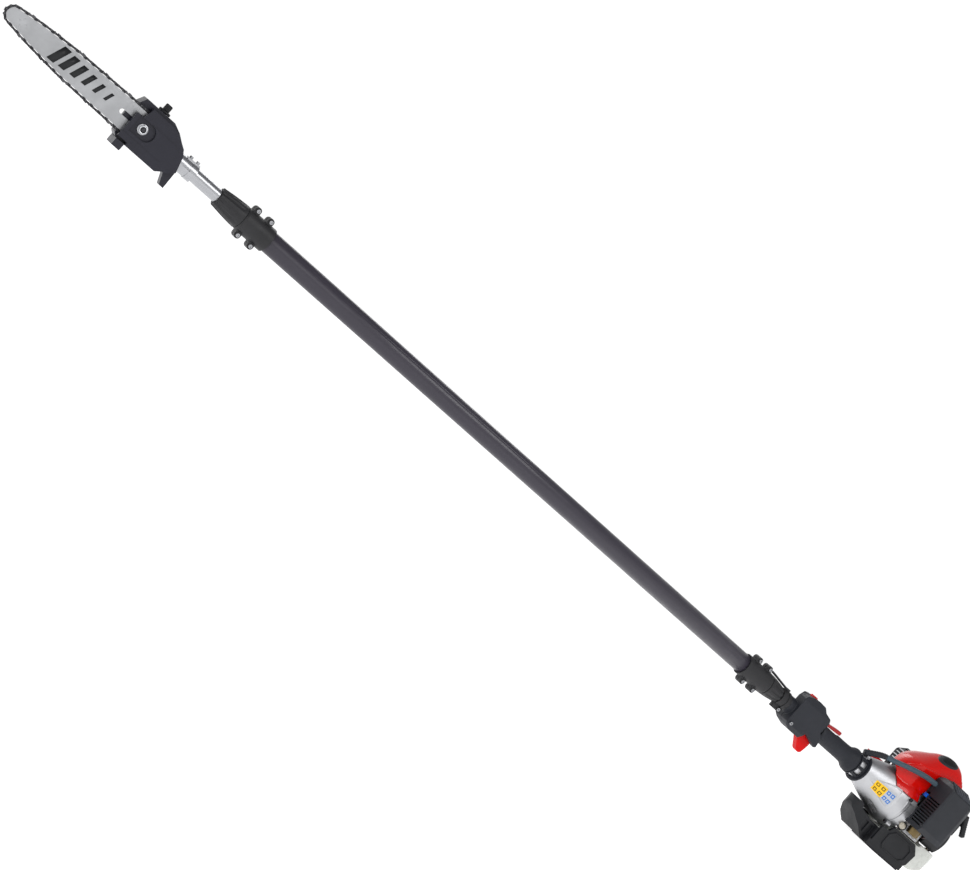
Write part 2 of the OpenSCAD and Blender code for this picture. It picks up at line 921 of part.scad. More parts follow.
module gearbox_housing() {
  color("#2f2f3b") difference() {
    union() {
      side(-24, 8.7) head_outline();
      block(2036, 2091, 2, 12, -9, 9);
      side(-20, 24) polygon([[2061, -36], [2061, -49], [2077, -49], [2077, -36.6]]);
      side(-8, 9.6) polygon([[1968, -13], [1966.5, -48], [1975, -48], [1984, -27]]);
      front(2040, 2075) polygon([[-24, -10], [-28, -6], [-28, 6], [-24, 10]]);
    }
    rod(1960, 1977, 14.6);
    rod(1970, 1990, 8);
    rod(1986, 1996, 11);
    rod(1995, 2015, 9.5);
    pin_y(sprocket_x, 0, -12, 3.5, 14.5);
    pin_y(sprocket_x, 0, 3.4, 13, 9);
    pin_y(sprocket_x, 0, -19, -11.9, 9);
    pin_y(sprocket_x, 0, 8.7, 20, 16.5);
    pin_y(stud_x, 0, -4, 20, 4);
    block(2056, 2079, -1, 9, -19, -9.8);
    translate([2070, 3.5, axis_z - 14.5]) rotate([0, 90, 0]) cylinder(h = 30, r = 2.5);
  }
}

module gearbox_bearings() {
  color("#9fa2a6") {
    pipe(1986, 1996, 11, 5 + run);
    difference() {
      pin_y(sprocket_x, 0, 5.9, 8.5, 9);
      pin_y(sprocket_x, 0, 0, 20, 4 + run);
    }
    difference() {
      pin_y(sprocket_x, 0, -19, -13.5, 9);
      pin_y(sprocket_x, 0, -30, 0, 4 + run);
    }
  }
}

module neck_clamp() {
  color("#c4c6c9") difference() {
    union() {
      rod(1954, 1976.5, 14.5);
      rod(1942, 1954.1, 15.3);
      block(1943, 1967, -7, 7, 10, 16.5);
    }
    rod(1930, 1972, ir);
    rod(1960, 1980, 8);
    block(1953, 1968, 0, 20, -0.8, 0.8);
    pin_z(1962, 0, 8, 20, 1.6);
    pin_z(1948, 0, 8, 20, 1.6);
  }
}

module neck_bolts() {
  color("#d0d2d4") for (x = [1948, 1962]) {
    pin_z(x, 0, 12.2, 16.6, 1.6);
    pin_z(x, 0, 16.5, 20.5, 3.2);
  }
}

module oil_tank() {
  color("#3a3a44") difference() {
    union() {
      side(-26, 7) polygon([[2082, 16.2], [2082, 29], [2076, 41], [2019, 41], [2003, 34],
        [1986, 22], [1979, 16.2]]);
      side(-27.5, -25) polygon([[2078, 20], [2078, 24], [2000, 24], [1994, 20]]);
    }
    side(-23.5, 4.5) polygon([[2079.5, 18.7], [2079.5, 28], [2074.5, 38.5], [2020, 38.5],
      [2004, 31.5], [1990, 21.5], [1986, 18.7]]);
    pin_z(2039, -12, 36, 45, 6);
  }
}

module oil_cap() {
  color("#26262c") difference() {
    union() {
      pin_z(2039, -12, 41.4, 46, 11);
      pin_z(2039, -12, 45.9, 57, 6.5);
      pin_z(2039, -12, 34, 41.5, 5.6);
    }
    for (i = [0:9])
      translate([2039, -12, axis_z + 48]) rotate([0, 0, i * 36]) translate([6.9, 0, 0])
        cylinder(h = 12, r = 0.9);
  }
}

module sprocket_shaft() {
  color("#8c8f93") difference() {
    union() {
      pin_y(sprocket_x, 0, -18.9, bar_y + 3.4, 4);
      translate([sprocket_x, -8.6, axis_z]) rotate([-90, 0, 0]) cylinder(h = 3.8, r1 = 11.9, r2 = 6.6);
      pin_y(sprocket_x, 0, -12.5, -8.5, 8);
      pin_y(sprocket_x, 0, bar_y - 2, bar_y + 2, sprocket_r);
    }
    difference() {
      pin_y(sprocket_x, 0, bar_y - 0.8, bar_y + 0.8, 12);
      pin_y(sprocket_x, 0, bar_y - 1, bar_y + 1, 5.8);
    }
    for (i = [0:6])
      translate([sprocket_x, bar_y - 3, axis_z]) rotate([0, i * 360 / 7, 0])
        translate([10.6, 0, 0]) rotate([-90, 0, 0]) cylinder(h = 6, r = 1.6);
  }
}

module chain_tensioner() {
  color("#a4a7ab") {
    pin_y(stud_x + 11, -14.5, 7.9, 15.6, 2.5);
    block(stud_x + 7, stud_x + 15, 0, 8, -18, -11);
    translate([stud_x + 2, 3.5, axis_z - 14.5]) rotate([0, 90, 0]) cylinder(h = 30, r = 2.5);
    translate([2082.2, 3.5, axis_z - 14.5]) rotate([0, 90, 0]) cylinder(h = 4, r = 4.5);
  }
}

module bar_cover() {
  color("#2f2f3b") difference() {
    union() {
      side(9, 26) polygon([[2079, -31.5], [2079, 15], [2066, 16], [2062, 35], [2021, 35],
        [2004, 30], [1986, 19], [1979, 9], [1975, -4], [1971, -17], [1983, -27.5], [1990, -30],
        [1999, -37], [2060, -37], [2060, -31.5]]);
      side(25.9, 27.5) polygon([[2079, 15], [2000, 15], [1990, 10], [1990, -10], [2004, -20],
        [2079, -20]]);
    }
    side(8, 20) polygon([[2090, -31.4], [2090, 40], [2065, 32], [2023, 32], [2006, 27.5],
      [1990, 17], [1984, 8], [1990, -24], [2001, -33.5], [2058, -33.5], [2060, -31.4]]);
    side(23, 30) {
      translate([2048, -15]) square([24, 30]);
      disc2d(2048, 15);
    }
    pin_y(stud_x, 0, 8, 30, 4.2);
    block(1960, 1985, 8, 10.4, -50, -10);
    rod(1940, 1978, 15.6);
  }
  color("#2f2f3b") difference() {
    block(stud_x - 17, stud_x + 20, bar_y + 2, 20.1, -9, 9);
    pin_y(stud_x, 0, 8, 30, 4.2);
  }
}

module bar_stud_nut() {
  color("#c4c6c9") {
    pin_y(stud_x, 0, -4, 31, 4);
    difference() {
      union() {
        pin_y(stud_x, 0, 23, 25, 7.8);
        translate([stud_x, 25, axis_z]) rotate([-90, 0, 0]) cylinder(h = 5, r = 7, $fn = 6);
      }
      pin_y(stud_x, 0, 20, 32, 4);
    }
  }
}
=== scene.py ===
import json
import math

import bmesh
import bpy
import numpy as np
from mathutils import Matrix, Vector


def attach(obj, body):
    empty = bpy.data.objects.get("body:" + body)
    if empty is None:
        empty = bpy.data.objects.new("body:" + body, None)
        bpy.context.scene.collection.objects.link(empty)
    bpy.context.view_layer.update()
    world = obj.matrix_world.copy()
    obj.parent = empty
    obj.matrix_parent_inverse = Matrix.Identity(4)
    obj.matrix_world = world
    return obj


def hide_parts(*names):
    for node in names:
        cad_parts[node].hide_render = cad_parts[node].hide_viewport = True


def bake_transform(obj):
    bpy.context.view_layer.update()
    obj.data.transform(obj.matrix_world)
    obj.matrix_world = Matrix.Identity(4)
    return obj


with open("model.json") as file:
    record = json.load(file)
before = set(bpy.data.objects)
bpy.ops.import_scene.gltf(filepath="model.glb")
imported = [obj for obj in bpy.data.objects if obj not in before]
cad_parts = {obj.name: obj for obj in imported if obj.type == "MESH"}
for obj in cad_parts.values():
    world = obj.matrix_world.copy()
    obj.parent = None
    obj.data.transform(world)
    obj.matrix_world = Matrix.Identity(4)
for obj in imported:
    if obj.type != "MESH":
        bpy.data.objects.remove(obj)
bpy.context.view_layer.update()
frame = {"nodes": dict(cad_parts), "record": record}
AXIS_H = 105.0  # the drive axis above the foot, mm
MM = 0.001


def P(x, y, h):
    """A point from millimetres, its height counted from the drive axis."""
    return Vector((x * MM, y * MM, (AXIS_H + h) * MM))


# ---------------------------------------------------------------- camera
ROLL = math.atan2(430, 480)  # slope of the pole in the picture
YAW = math.radians(26)
TURN = math.radians(0.2)  # a turn about the saw head, which shares out the engine's offset
IMAGE_W = 970
FOCAL_PX = 2079
SENSOR = 36
along = Vector((-math.cos(YAW), math.sin(YAW), 0))
up_line = Vector((0, 0, 1))
view_dir = Vector((-math.sin(YAW), -math.cos(YAW), 0))
right = math.cos(ROLL) * along + math.sin(ROLL) * up_line
up = -math.sin(ROLL) * along + math.cos(ROLL) * up_line
cam_data = bpy.data.cameras.new("camera")
cam_data.sensor_width = SENSOR
cam_data.lens = FOCAL_PX / IMAGE_W * SENSOR
cam_data.clip_end = 200
cam = bpy.data.objects.new("camera", cam_data)
bpy.context.scene.collection.objects.link(cam)
placed = Matrix((right, up, -view_dir)).transposed().to_4x4()
placed.translation = P(2826.8, 3225, 1.5)
saw_head = P(2100, 0, 0)
turned = Matrix.Rotation(TURN, 4, view_dir)
cam.matrix_world = Matrix.Translation(saw_head) @ turned @ Matrix.Translation(-saw_head) @ placed
bpy.context.scene.camera = cam


# ---------------------------------------------------------------- materials
def new_mat(name):
    mat = bpy.data.materials.new(name)
    mat.use_nodes = True
    nt = mat.node_tree
    bsdf = nt.nodes["Principled BSDF"]
    return mat, nt, bsdf


def noise(nt, scale, detail=4.0, rough=0.5, stretch=(1, 1, 1)):
    """Noise in the piece's own coordinates, in metres."""
    tc = nt.nodes.new("ShaderNodeTexCoord")
    mp = nt.nodes.new("ShaderNodeMapping")
    mp.inputs["Scale"].default_value = stretch
    nt.links.new(tc.outputs["Object"], mp.inputs["Vector"])
    n = nt.nodes.new("ShaderNodeTexNoise")
    n.inputs["Scale"].default_value = scale
    n.inputs["Detail"].default_value = detail
    n.inputs["Roughness"].default_value = rough
    nt.links.new(mp.outputs["Vector"], n.inputs["Vector"])
    return n


def ramp(nt, fac, stops):
    r = nt.nodes.new("ShaderNodeValToRGB")
    while len(r.color_ramp.elements) < len(stops):
        r.color_ramp.elements.new(0.5)
    for e, (p, c) in zip(r.color_ramp.elements, stops):
        e.position = p
        e.color = (*c, 1)
    nt.links.new(fac, r.inputs["Fac"])
    return r


def to_range(nt, fac, lo, hi, src=(0.3, 0.7)):
    mr = nt.nodes.new("ShaderNodeMapRange")
    mr.inputs["From Min"].default_value = src[0]
    mr.inputs["From Max"].default_value = src[1]
    mr.inputs["To Min"].default_value = lo
    mr.inputs["To Max"].default_value = hi
    nt.links.new(fac, mr.inputs["Value"])
    return mr.outputs["Result"]


def bump(nt, height, strength, distance):
    b = nt.nodes.new("ShaderNodeBump")
    b.inputs["Strength"].default_value = strength
    b.inputs["Distance"].default_value = distance
    nt.links.new(height, b.inputs["Height"])
    return b


def shade(c, k):
    return tuple(min(1.0, max(0.0, v * k)) for v in c)


def srgb(h):
    h = h.lstrip("#")
    v = [int(h[i:i + 2], 16) / 255 for i in (0, 2, 4)]
    return tuple(x / 12.92 if x <= 0.04045 else ((x + 0.055) / 1.055) ** 2.4 for x in v)


def plastic(name, col, rough=(0.38, 0.52), grain=900, grain_d=0.00006, vary=0.16, coat=0.0,
            spec=0.25, shade_patches=None):
    mat, nt, b = new_mat(name)
    big = noise(nt, 14, 5, 0.6)
    c = ramp(nt, big.outputs["Fac"], [(0.3, shade(col, 1 - vary)), (0.7, shade(col, 1 + vary))])
    out = c.outputs["Color"]
    # painted shade: darker patches mixed in at random, standing for the shaded inside seen through a milky
    # wall
    if shade_patches is not None:
        fine = noise(nt, 120, 6, 0.7)
        mix = nt.nodes.new("ShaderNodeMix")
        mix.data_type = "RGBA"
        mask = to_range(nt, fine.outputs["Fac"], 0.0, 0.35, (0.5, 0.75))
        nt.links.new(mask, mix.inputs["Factor"])
        nt.links.new(out, mix.inputs["A"])
        mix.inputs["B"].default_value = (*shade_patches, 1)
        out = mix.outputs["Result"]
    nt.links.new(out, b.inputs["Base Color"])
    mid = noise(nt, 45, 4, 0.6)
    nt.links.new(to_range(nt, mid.outputs["Fac"], rough[0], rough[1]), b.inputs["Roughness"])
    g = noise(nt, grain, 3, 0.6)
    nt.links.new(bump(nt, g.outputs["Fac"], 0.6, grain_d).outputs["Normal"], b.inputs["Normal"])
    b.inputs["Specular IOR Level"].default_value = spec
    b.inputs["Coat Weight"].default_value = coat
    b.inputs["Coat Roughness"].default_value = 0.08
    return mat


def metal(name, col, rough=(0.22, 0.38), stretch=(1, 1, 1), scale=300, depth=0.00003, vary=0.12):
    mat, nt, b = new_mat(name)
    n = noise(nt, scale, 4, 0.6, stretch)
    big = noise(nt, 22, 4, 0.6)
    c = ramp(nt, big.outputs["Fac"], [(0.3, shade(col, 1 - vary)), (0.7, shade(col, 1 + vary))])
    nt.links.new(c.outputs["Color"], b.inputs["Base Color"])
    nt.links.new(to_range(nt, n.outputs["Fac"], rough[0], rough[1]), b.inputs["Roughness"])
    nt.links.new(bump(nt, n.outputs["Fac"], 0.5, depth).outputs["Normal"], b.inputs["Normal"])
    b.inputs["Metallic"].default_value = 1.0
    return mat


MATS = {
    "tube_paint": plastic("tube_paint", srgb("#2f2c35"), (0.3, 0.42), 500, 0.00003, 0.06, 0.12, 0.3),
    "nylon": plastic("nylon", srgb("#141517"), (0.4, 0.5)),
    "clamp_plastic": plastic("clamp_plastic", srgb("#242426"), (0.42, 0.58), 700, 0.00012, 0.14),
    "screw_steel": metal("screw_steel", (0.34, 0.345, 0.36), (0.2, 0.35)),
    "bare_tube": metal("bare_tube", (0.36, 0.365, 0.38), (0.24, 0.34), (0.03, 1, 1), 300, 0.00001, 0.06),
    "handle_plastic": plastic("handle_plastic", srgb("#1f2127"), (0.42, 0.56), 800, 0.00014, 0.14),
    "grip_rubber": plastic("grip_rubber", srgb("#1d1f25"), (0.5, 0.66), 600, 0.00018, 0.14),
    "trigger_red": plastic("trigger_red", (0.5, 0.001, 0.001), (0.28, 0.4), 900, 0.00003, 0.08, 0.05, 0.12),
    "lockout_red": plastic("lockout_red", (0.30, 0.006, 0.008), (0.25, 0.4), 900, 0.00003, 0.06, 0.2),
    "hose": plastic("hose", srgb("#3d4d57"), (0.4, 0.5), 500, 0.00006, 0.1),
    "cast_alloy": metal("cast_alloy", (0.47, 0.475, 0.49), (0.4, 0.52), (1, 1, 1), 700, 0.00012, 0.06),
    "cover_red": plastic("cover_red", (0.5, 0.003, 0.001), (0.16, 0.28), 300, 0.00001, 0.06, 0.25, 0.2),
    "black_plastic": plastic("black_plastic", srgb("#18191c"), (0.4, 0.56), 700, 0.00016, 0.16),
    "filter_plastic": plastic("filter_plastic", srgb("#212328"), (0.42, 0.56), 700, 0.00014, 0.14),
    "foam": plastic("foam", srgb("#2c2d2a"), (0.8, 0.95), 500, 0.0006, 0.25),
    "steel": metal("steel", (0.35, 0.355, 0.37), (0.28, 0.45)),
    "brass": metal("brass", (0.17, 0.125, 0.06), (0.3, 0.45)),
    "ceramic": plastic("ceramic", srgb("#c9c7c1"), (0.1, 0.2), 300, 0.00001, 0.03, 0.5),
    "choke_blue": plastic("choke_blue", srgb("#0f58c0"), (0.25, 0.35), 700, 0.00004, 0.06, 0.2),
    "rope": plastic("rope", srgb("#141516"), (0.7, 0.85), 900, 0.0003, 0.2),
    # painted shade: the tank's darker patches stand for its shaded inside seen through the milky wall
    "tank_plastic": plastic("tank_plastic", srgb("#bfc1bc"), (0.2, 0.34), 260, 0.0001, 0.16, 0.35, 0.5,
                            srgb("#8d9088")),
    "head_paint": plastic("head_paint", srgb("#1b1b25"), (0.36, 0.48), 600, 0.00014, 0.14, 0.1),
    "head_plastic": plastic("head_plastic", srgb("#1b1b25"), (0.34, 0.46), 600, 0.0001, 0.14, 0.1),
    "bar_steel": metal("bar_steel", (0.33, 0.335, 0.345), (0.3, 0.44), (0.02, 1, 1), 600, 0.00004, 0.12),
    "chain_steel": metal("chain_steel", (0.035, 0.035, 0.038), (0.35, 0.55)),
}
DARK_STEEL = metal("dark_steel", (0.05, 0.05, 0.055), (0.3, 0.5))


# ---------------------------------------------------------------- stage
def link(obj):
    bpy.context.scene.collection.objects.link(obj)
    return obj


FLOOR_HALF = 60
FLOOR_GLOW = 0.72
SKY_STRENGTH = 1.03
SKY_STOPS = [(0.32, (1, 1, 1)), (0.5, (0.5, 0.5, 0.51)), (1.0, (0.26, 0.26, 0.27))]
LIGHTS = (
    # name, place, target, size, power
    ("key", (0.4, 2.6, 2.6), (0.9, 0, 0.1), (2.4, 1.2), 52),
    ("fill", (2.6, 2.2, 1.2), (1.0, 0, 0.1), (1.4, 1.0), 8),
    ("back", (0.8, -2.6, 2.2), (0.9, 0, 0.1), (2.6, 1.0), 28),
)


def floor():
    f = FLOOR_HALF
    me = bpy.data.meshes.new("floor")
    me.from_pydata([(-f, -f, 0), (f, -f, 0), (f, f, 0), (-f, f, 0)], [], [(0, 1, 2, 3)])
    ob = link(bpy.data.objects.new("floor", me))
    mat, nt, b = new_mat("floor")
    n = noise(nt, 2.0, 3)
    c = ramp(nt, n.outputs["Fac"], [(0.3, (0.9, 0.9, 0.9)), (0.7, (0.93, 0.93, 0.93))])
    nt.links.new(c.outputs["Color"], b.inputs["Base Color"])
    b.inputs["Roughness"].default_value = 0.9
    b.inputs["Specular IOR Level"].default_value = 0.05
    b.inputs["Emission Color"].default_value = (1, 1, 1, 1)
    b.inputs["Emission Strength"].default_value = FLOOR_GLOW
    me.materials.append(mat)


def area(name, loc, target, size, power):
    d = bpy.data.lights.new(name, "AREA")
    d.shape = "RECTANGLE"
    d.size, d.size_y = size
    d.energy = power
    ob = link(bpy.data.objects.new(name, d))
    ob.location = loc
    ob.rotation_euler = (Vector(target) - Vector(loc)).to_track_quat("-Z", "Y").to_euler()


floor()
world = bpy.data.worlds.new("world")
bpy.context.scene.world = world
world.use_nodes = True
sky = world.node_tree
where = sky.nodes.new("ShaderNodeTexCoord")
split = sky.nodes.new("ShaderNodeSeparateXYZ")
sky.links.new(where.outputs["Generated"], split.inputs["Vector"])
dome = ramp(sky, split.outputs["Z"], SKY_STOPS)
sky.links.new(dome.outputs["Color"], sky.nodes["Background"].inputs["Color"])
sky.nodes["Background"].inputs["Strength"].default_value = SKY_STRENGTH
for light in LIGHTS:
    area(*light)
bpy.context.scene.view_settings.view_transform = "Standard"
bpy.context.scene.view_settings.look = "None"

SLOT_OF = {s["node"]: s["material_slot"] for s in frame["record"]["subparts"]}
BODY_OF = {n: b for b, ns in frame["record"]["behaviour"]["bodies"].items() for n in ns}


# ---------------------------------------------------------------- mesh helpers (mm, height from the axis)
def make(name, verts, faces):
    me = bpy.data.meshes.new(name)
    me.from_pydata([P(*v) for v in verts], [], faces)
    bm = bmesh.new()
    bm.from_mesh(me)
    bmesh.ops.recalc_face_normals(bm, faces=bm.faces)
    bm.to_mesh(me)
    bm.free()
    for p in me.polygons:
        p.use_smooth = True
    return link(bpy.data.objects.new(name, me))


def loft(name, rings, caps=True, around=False):
    """Rings of equal length joined into a skin; around=True also joins the last ring to the first."""
    n = len(rings[0])
    verts = [v for r in rings for v in r]
    faces = []
    m = len(rings)
    for i in range(m if around else m - 1):
        a, b = i * n, ((i + 1) % m) * n
        for j in range(n):
            k = (j + 1) % n
            faces.append((a + j, a + k, b + k, b + j))
    if caps and not around:
        faces.append(tuple(range(n))[::-1])
        faces.append(tuple((m - 1) * n + j for j in range(n)))
    return make(name, verts, faces)


def spin(name, prof, segs=64, wave=None):
    """Turn an (x, r) profile about the drive axis. A closed profile gives a hollow part."""
    closed = prof[0] == prof[-1]
    if closed:
        prof = prof[:-1]
    rings = []
    for x, r in prof:
        ring = []
        for j in range(segs):
            a = 2 * math.pi * j / segs
            q = r + (wave(x, r, a) if wave else 0.0)
            ring.append((x, q * math.cos(a), q * math.sin(a)))
        rings.append(ring)
    return loft(name, rings, caps=not closed, around=closed)


def prism(name, outline, y0, y1, plane="side"):
    """An outline given a thickness: side (x, h) along y, front (y, h) along x."""
    def at(p, t):
        if plane == "side":
            return (p[0], t, p[1])
        return (t, p[0], p[1])
    n = len(outline)
    verts = [at(p, y0) for p in outline] + [at(p, y1) for p in outline]
    faces = [tuple(range(n)), tuple(range(2 * n - 1, n - 1, -1))]
    faces += [(i, (i + 1) % n, n + (i + 1) % n, n + i) for i in range(n)]
    return make(name, verts, faces)


def box_at(name, x0, x1, y0, y1, h0, h1):
    return prism(name, [(x0, h0), (x1, h0), (x1, h1), (x0, h1)], y0, y1)


def knob(name, centre, axis, prof, segs=32):
    """Turn a (distance along axis, radius) profile about any axis through centre."""
    axis = Vector(axis).normalized()
    u = axis.orthogonal().normalized()
    v = axis.cross(u)
    closed = prof[0] == prof[-1]
    if closed:
        prof = prof[:-1]
    rings = []
    for t, r in prof:
        ring = []
        for j in range(segs):
            a = 2 * math.pi * j / segs
            p = Vector(centre) + t * axis + r * (math.cos(a) * u + math.sin(a) * v)
            ring.append(tuple(p))
        rings.append(ring)
    return loft(name, rings, caps=not closed, around=closed)


def catmull(pts, steps):
    pts = [Vector(p) for p in pts]
    out = []
    for i in range(len(pts) - 1):
        a, b, c, d = pts[max(i - 1, 0)], pts[i], pts[i + 1], pts[min(i + 2, len(pts) - 1)]
        for k in range(steps):
            t = k / steps
            out.append(0.5 * (2 * b + (c - a) * t + (2 * a - 5 * b + 4 * c - d) * t * t
                              + (3 * b - a - 3 * c + d) * t ** 3))
    out.append(pts[-1])
    return out


def resample(pts, step):
    """Points spaced evenly along a polyline."""
    cum = [0.0]
    for a, b in zip(pts, pts[1:]):
        cum.append(cum[-1] + (b - a).length)
    n = max(2, round(cum[-1] / step))
    out = []
    for i in range(n + 1):
        s = cum[-1] * i / n
        k = max(0, min(len(cum) - 2, int(np.searchsorted(cum, s)) - 1))
        t = (s - cum[k]) / max(1e-9, cum[k + 1] - cum[k])
        out.append(pts[k].lerp(pts[k + 1], t))
    return out


def tube(name, pts, radius, segs=16, closed=False):
    """A round tube along points; radius is a number or a function of the point's index."""
    n = len(pts)
    tangents = []
    for i in range(n):
        a = pts[(i - 1) % n] if closed or i > 0 else pts[i]
        b = pts[(i + 1) % n] if closed or i < n - 1 else pts[i]
        tangents.append((b - a).normalized())
    u = tangents[0].orthogonal().normalized()
    rings = []
    for i in range(n):
        t = tangents[i]
        u = (u - u.dot(t) * t).normalized()
        v = t.cross(u)
        r = radius(i) if callable(radius) else radius
        rings.append([tuple(pts[i] + r * (math.cos(2 * math.pi * j / segs) * u
                                          + math.sin(2 * math.pi * j / segs) * v))
                      for j in range(segs)])
    return loft(name, rings, caps=not closed, around=closed)


def bake(ob):
    """Apply an object's modifiers to its mesh."""
    bpy.context.view_layer.update()
    dg = bpy.context.evaluated_depsgraph_get()
    me = bpy.data.meshes.new_from_object(ob.evaluated_get(dg))
    ob.modifiers.clear()
    ob.data = me
    return ob


def cut(ob, cutters):
    """Take other objects out of one; they are used up."""
    for c in cutters:
        mod = ob.modifiers.new("b", "BOOLEAN")
        mod.operation = "DIFFERENCE"
        mod.solver = "EXACT"
        mod.object = c
        bake(ob)
        bpy.data.objects.remove(c)
    return ob


def rounded(ob, width, seg=3, angle=30):
    mod = ob.modifiers.new("bevel", "BEVEL")
    mod.width = width * MM
    mod.segments = seg
    mod.limit_method = "ANGLE"
    mod.angle_limit = math.radians(angle)
    mod.use_clamp_overlap = True
    wn = ob.modifiers.new("wn", "WEIGHTED_NORMAL")
    wn.keep_sharp = True
    return ob


def moulded(ob, voxel, smooth=4, factor=0.5):
    """Voxel remesh and smoothing: a moulded or cast shape with soft edges."""
    mod = ob.modifiers.new("r", "REMESH")
    mod.mode = "VOXEL"
    mod.voxel_size = voxel * MM
    mod.use_smooth_shade = True
    s = ob.modifiers.new("s", "SMOOTH")
    s.factor = factor
    s.iterations = smooth
    bake(ob)
    for p in ob.data.polygons:
        p.use_smooth = True
    return ob


def keep_largest(ob):
    """Drop the loose scraps that cutters leave beside the main shape."""
    bm = bmesh.new()
    bm.from_mesh(ob.data)
    left, best = set(bm.verts), []
    while left:
        stack = [next(iter(left))]
        left.discard(stack[0])
        island = []
        while stack:
            v = stack.pop()
            island.append(v)
            for e in v.link_edges:
                w = e.other_vert(v)
                if w in left:
                    left.discard(w)
                    stack.append(w)
        if len(island) > len(best):
            best = island
    kept = set(best)
    bmesh.ops.delete(bm, geom=[v for v in bm.verts if v not in kept], context="VERTS")
    bm.to_mesh(ob.data)
    bm.free()


def put(ob, slot_name, body, *nodes, mat=None):
    """Give a piece its material (from its slot's name unless one is given), its body and the CAD nodes it
    stands for.
    """
    ob.data.materials.clear()
    ob.data.materials.append(mat or MATS[slot_name])
    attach(ob, body)
    if nodes:
        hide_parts(*nodes)
    return ob


def join(name, objs):
    """Several meshes in one object."""
    bm = bmesh.new()
    for o in objs:
        if o.modifiers:
            bake(o)
        bm.from_mesh(o.data)
        bpy.data.objects.remove(o)
    me = bpy.data.meshes.new(name)
    bm.to_mesh(me)
    bm.free()
    return link(bpy.data.objects.new(name, me))


def cad_copy(node):
    """A CAD node's mesh with its flat faces merged, for bevels and remeshing."""
    me = frame["nodes"][node].data.copy()
    bm = bmesh.new()
    bm.from_mesh(me)
    bmesh.ops.remove_doubles(bm, verts=bm.verts, dist=1e-6)
    bmesh.ops.dissolve_limit(bm, angle_limit=math.radians(0.6), verts=bm.verts, edges=bm.edges)
    bm.to_mesh(me)
    bm.free()
    for p in me.polygons:
        p.use_smooth = True
    return link(bpy.data.objects.new(node + "_skin", me))


def soft(node, width=0.5, seg=2, mat=None):
    """A CAD node with rounded edges, which stands for it."""
    ob = cad_copy(node)
    rounded(ob, width, seg, 32)
    return put(ob, SLOT_OF[node], BODY_OF[node], node, mat=mat)


def sm(t, a, b):
    """Smooth step from a to b."""
    t = min(1.0, max(0.0, (t - a) / (b - a)))
    return t * t * (3 - 2 * t)


# ---------------------------------------------------------------- pole
TUBE_X0, TUBE_X1 = 498.0, 1810.0
TUBE_R, TUBE_BORE = 19.0, 17.5
DRAW_LINE = 0.62  # angle of the first draw line


def tube_wave(x, r, a):
    """Two shallow draw lines along the tube."""
    if r < 18:
        return 0.0
    out = 0.0
    for c in (DRAW_LINE, math.pi + DRAW_LINE):
        d = (a - c + math.pi) % (2 * math.pi) - math.pi
        out -= 0.35 * math.exp(-(d / 0.035) ** 2)
    return out


tube_prof = [(TUBE_X0, TUBE_BORE), (TUBE_X0, TUBE_R - 0.4), (TUBE_X0 + 0.4, TUBE_R), (TUBE_X1 - 0.4, TUBE_R),
             (TUBE_X1, TUBE_R - 0.4), (TUBE_X1, TUBE_BORE), (TUBE_X0, TUBE_BORE)]
put(spin("outer_tube_skin", tube_prof, 180, tube_wave), "tube_paint", "powerhead", "outer_tube")

for n in ("upper_clamp_left", "upper_clamp_right", "lower_clamp_left", "lower_clamp_right"):
    ob = moulded(cad_copy(n), 0.55, 5, 0.6)
    put(ob, SLOT_OF[n], "powerhead", n)


def fluted(name, x0, r0, x1, r1, bore, count, depth, body, node, spigot):
    """A cone sleeve with finger flutes; its far mouth is scalloped by them."""
    def wave(x, r, a):
        if r < bore + 1.5:
            return 0.0
        t = (x - x0) / (x1 - x0)
        if t < 0:
            return 0.0
        c = 0.5 + 0.5 * math.cos(count * a)
        flute = sm(c, 0.35, 0.95)
        return -depth * flute * sm(t, 0.06, 0.22) * (0.75 + 0.25 * sm(t, 0.5, 1.0))
    prof = []
    steps = 28
    for i in range(steps + 1):
        t = i / steps
        bulge = 0.9 * math.sin(math.pi * min(1, t * 1.1))
        prof.append((x0 + (x1 - x0) * t, r0 + (r1 - r0) * t + bulge * 0.6))
    d = 1 if x1 > x0 else -1
    prof = [(x0, r0 - 1.0), (x0 + 0.5 * d, r0 - 0.2)] + prof[1:-1]
    prof += [(x1 - 0.6 * d, r1 + 0.1), (x1, r1 - 0.9), (x1, bore + 1.3), (x1 - 0.8 * d, bore)]
    prof += [(spigot[0], bore), (spigot[0], spigot[1]), (x0, spigot[1]), (x0, r0 - 1.0)]
    ob = spin(name, prof, 240, wave)
    return put(ob, SLOT_OF[node], body, node)


fluted("lock_sleeve_skin", 1837.4, 21.6, 1889, 17.0, 12.35, 10, 1.7, "lock_ring", "lock_sleeve",
       (1814, 16.0))
fluted("lower_sleeve_skin", 464.6, 21.5, 427, 16.5, 13.05, 10, 1.5, "powerhead", "lower_sleeve",
       (497.4, 18.95))

for n, w in (("clamp_screws", 0.35), ("harness_clamp", 0.9), ("neck_clamp", 0.5), ("neck_bolts", 0.4),
             ("stop_switch", 0.6)):
    soft(n, w, 2)
soft("engine_bolts", 0.4, 2, DARK_STEEL)

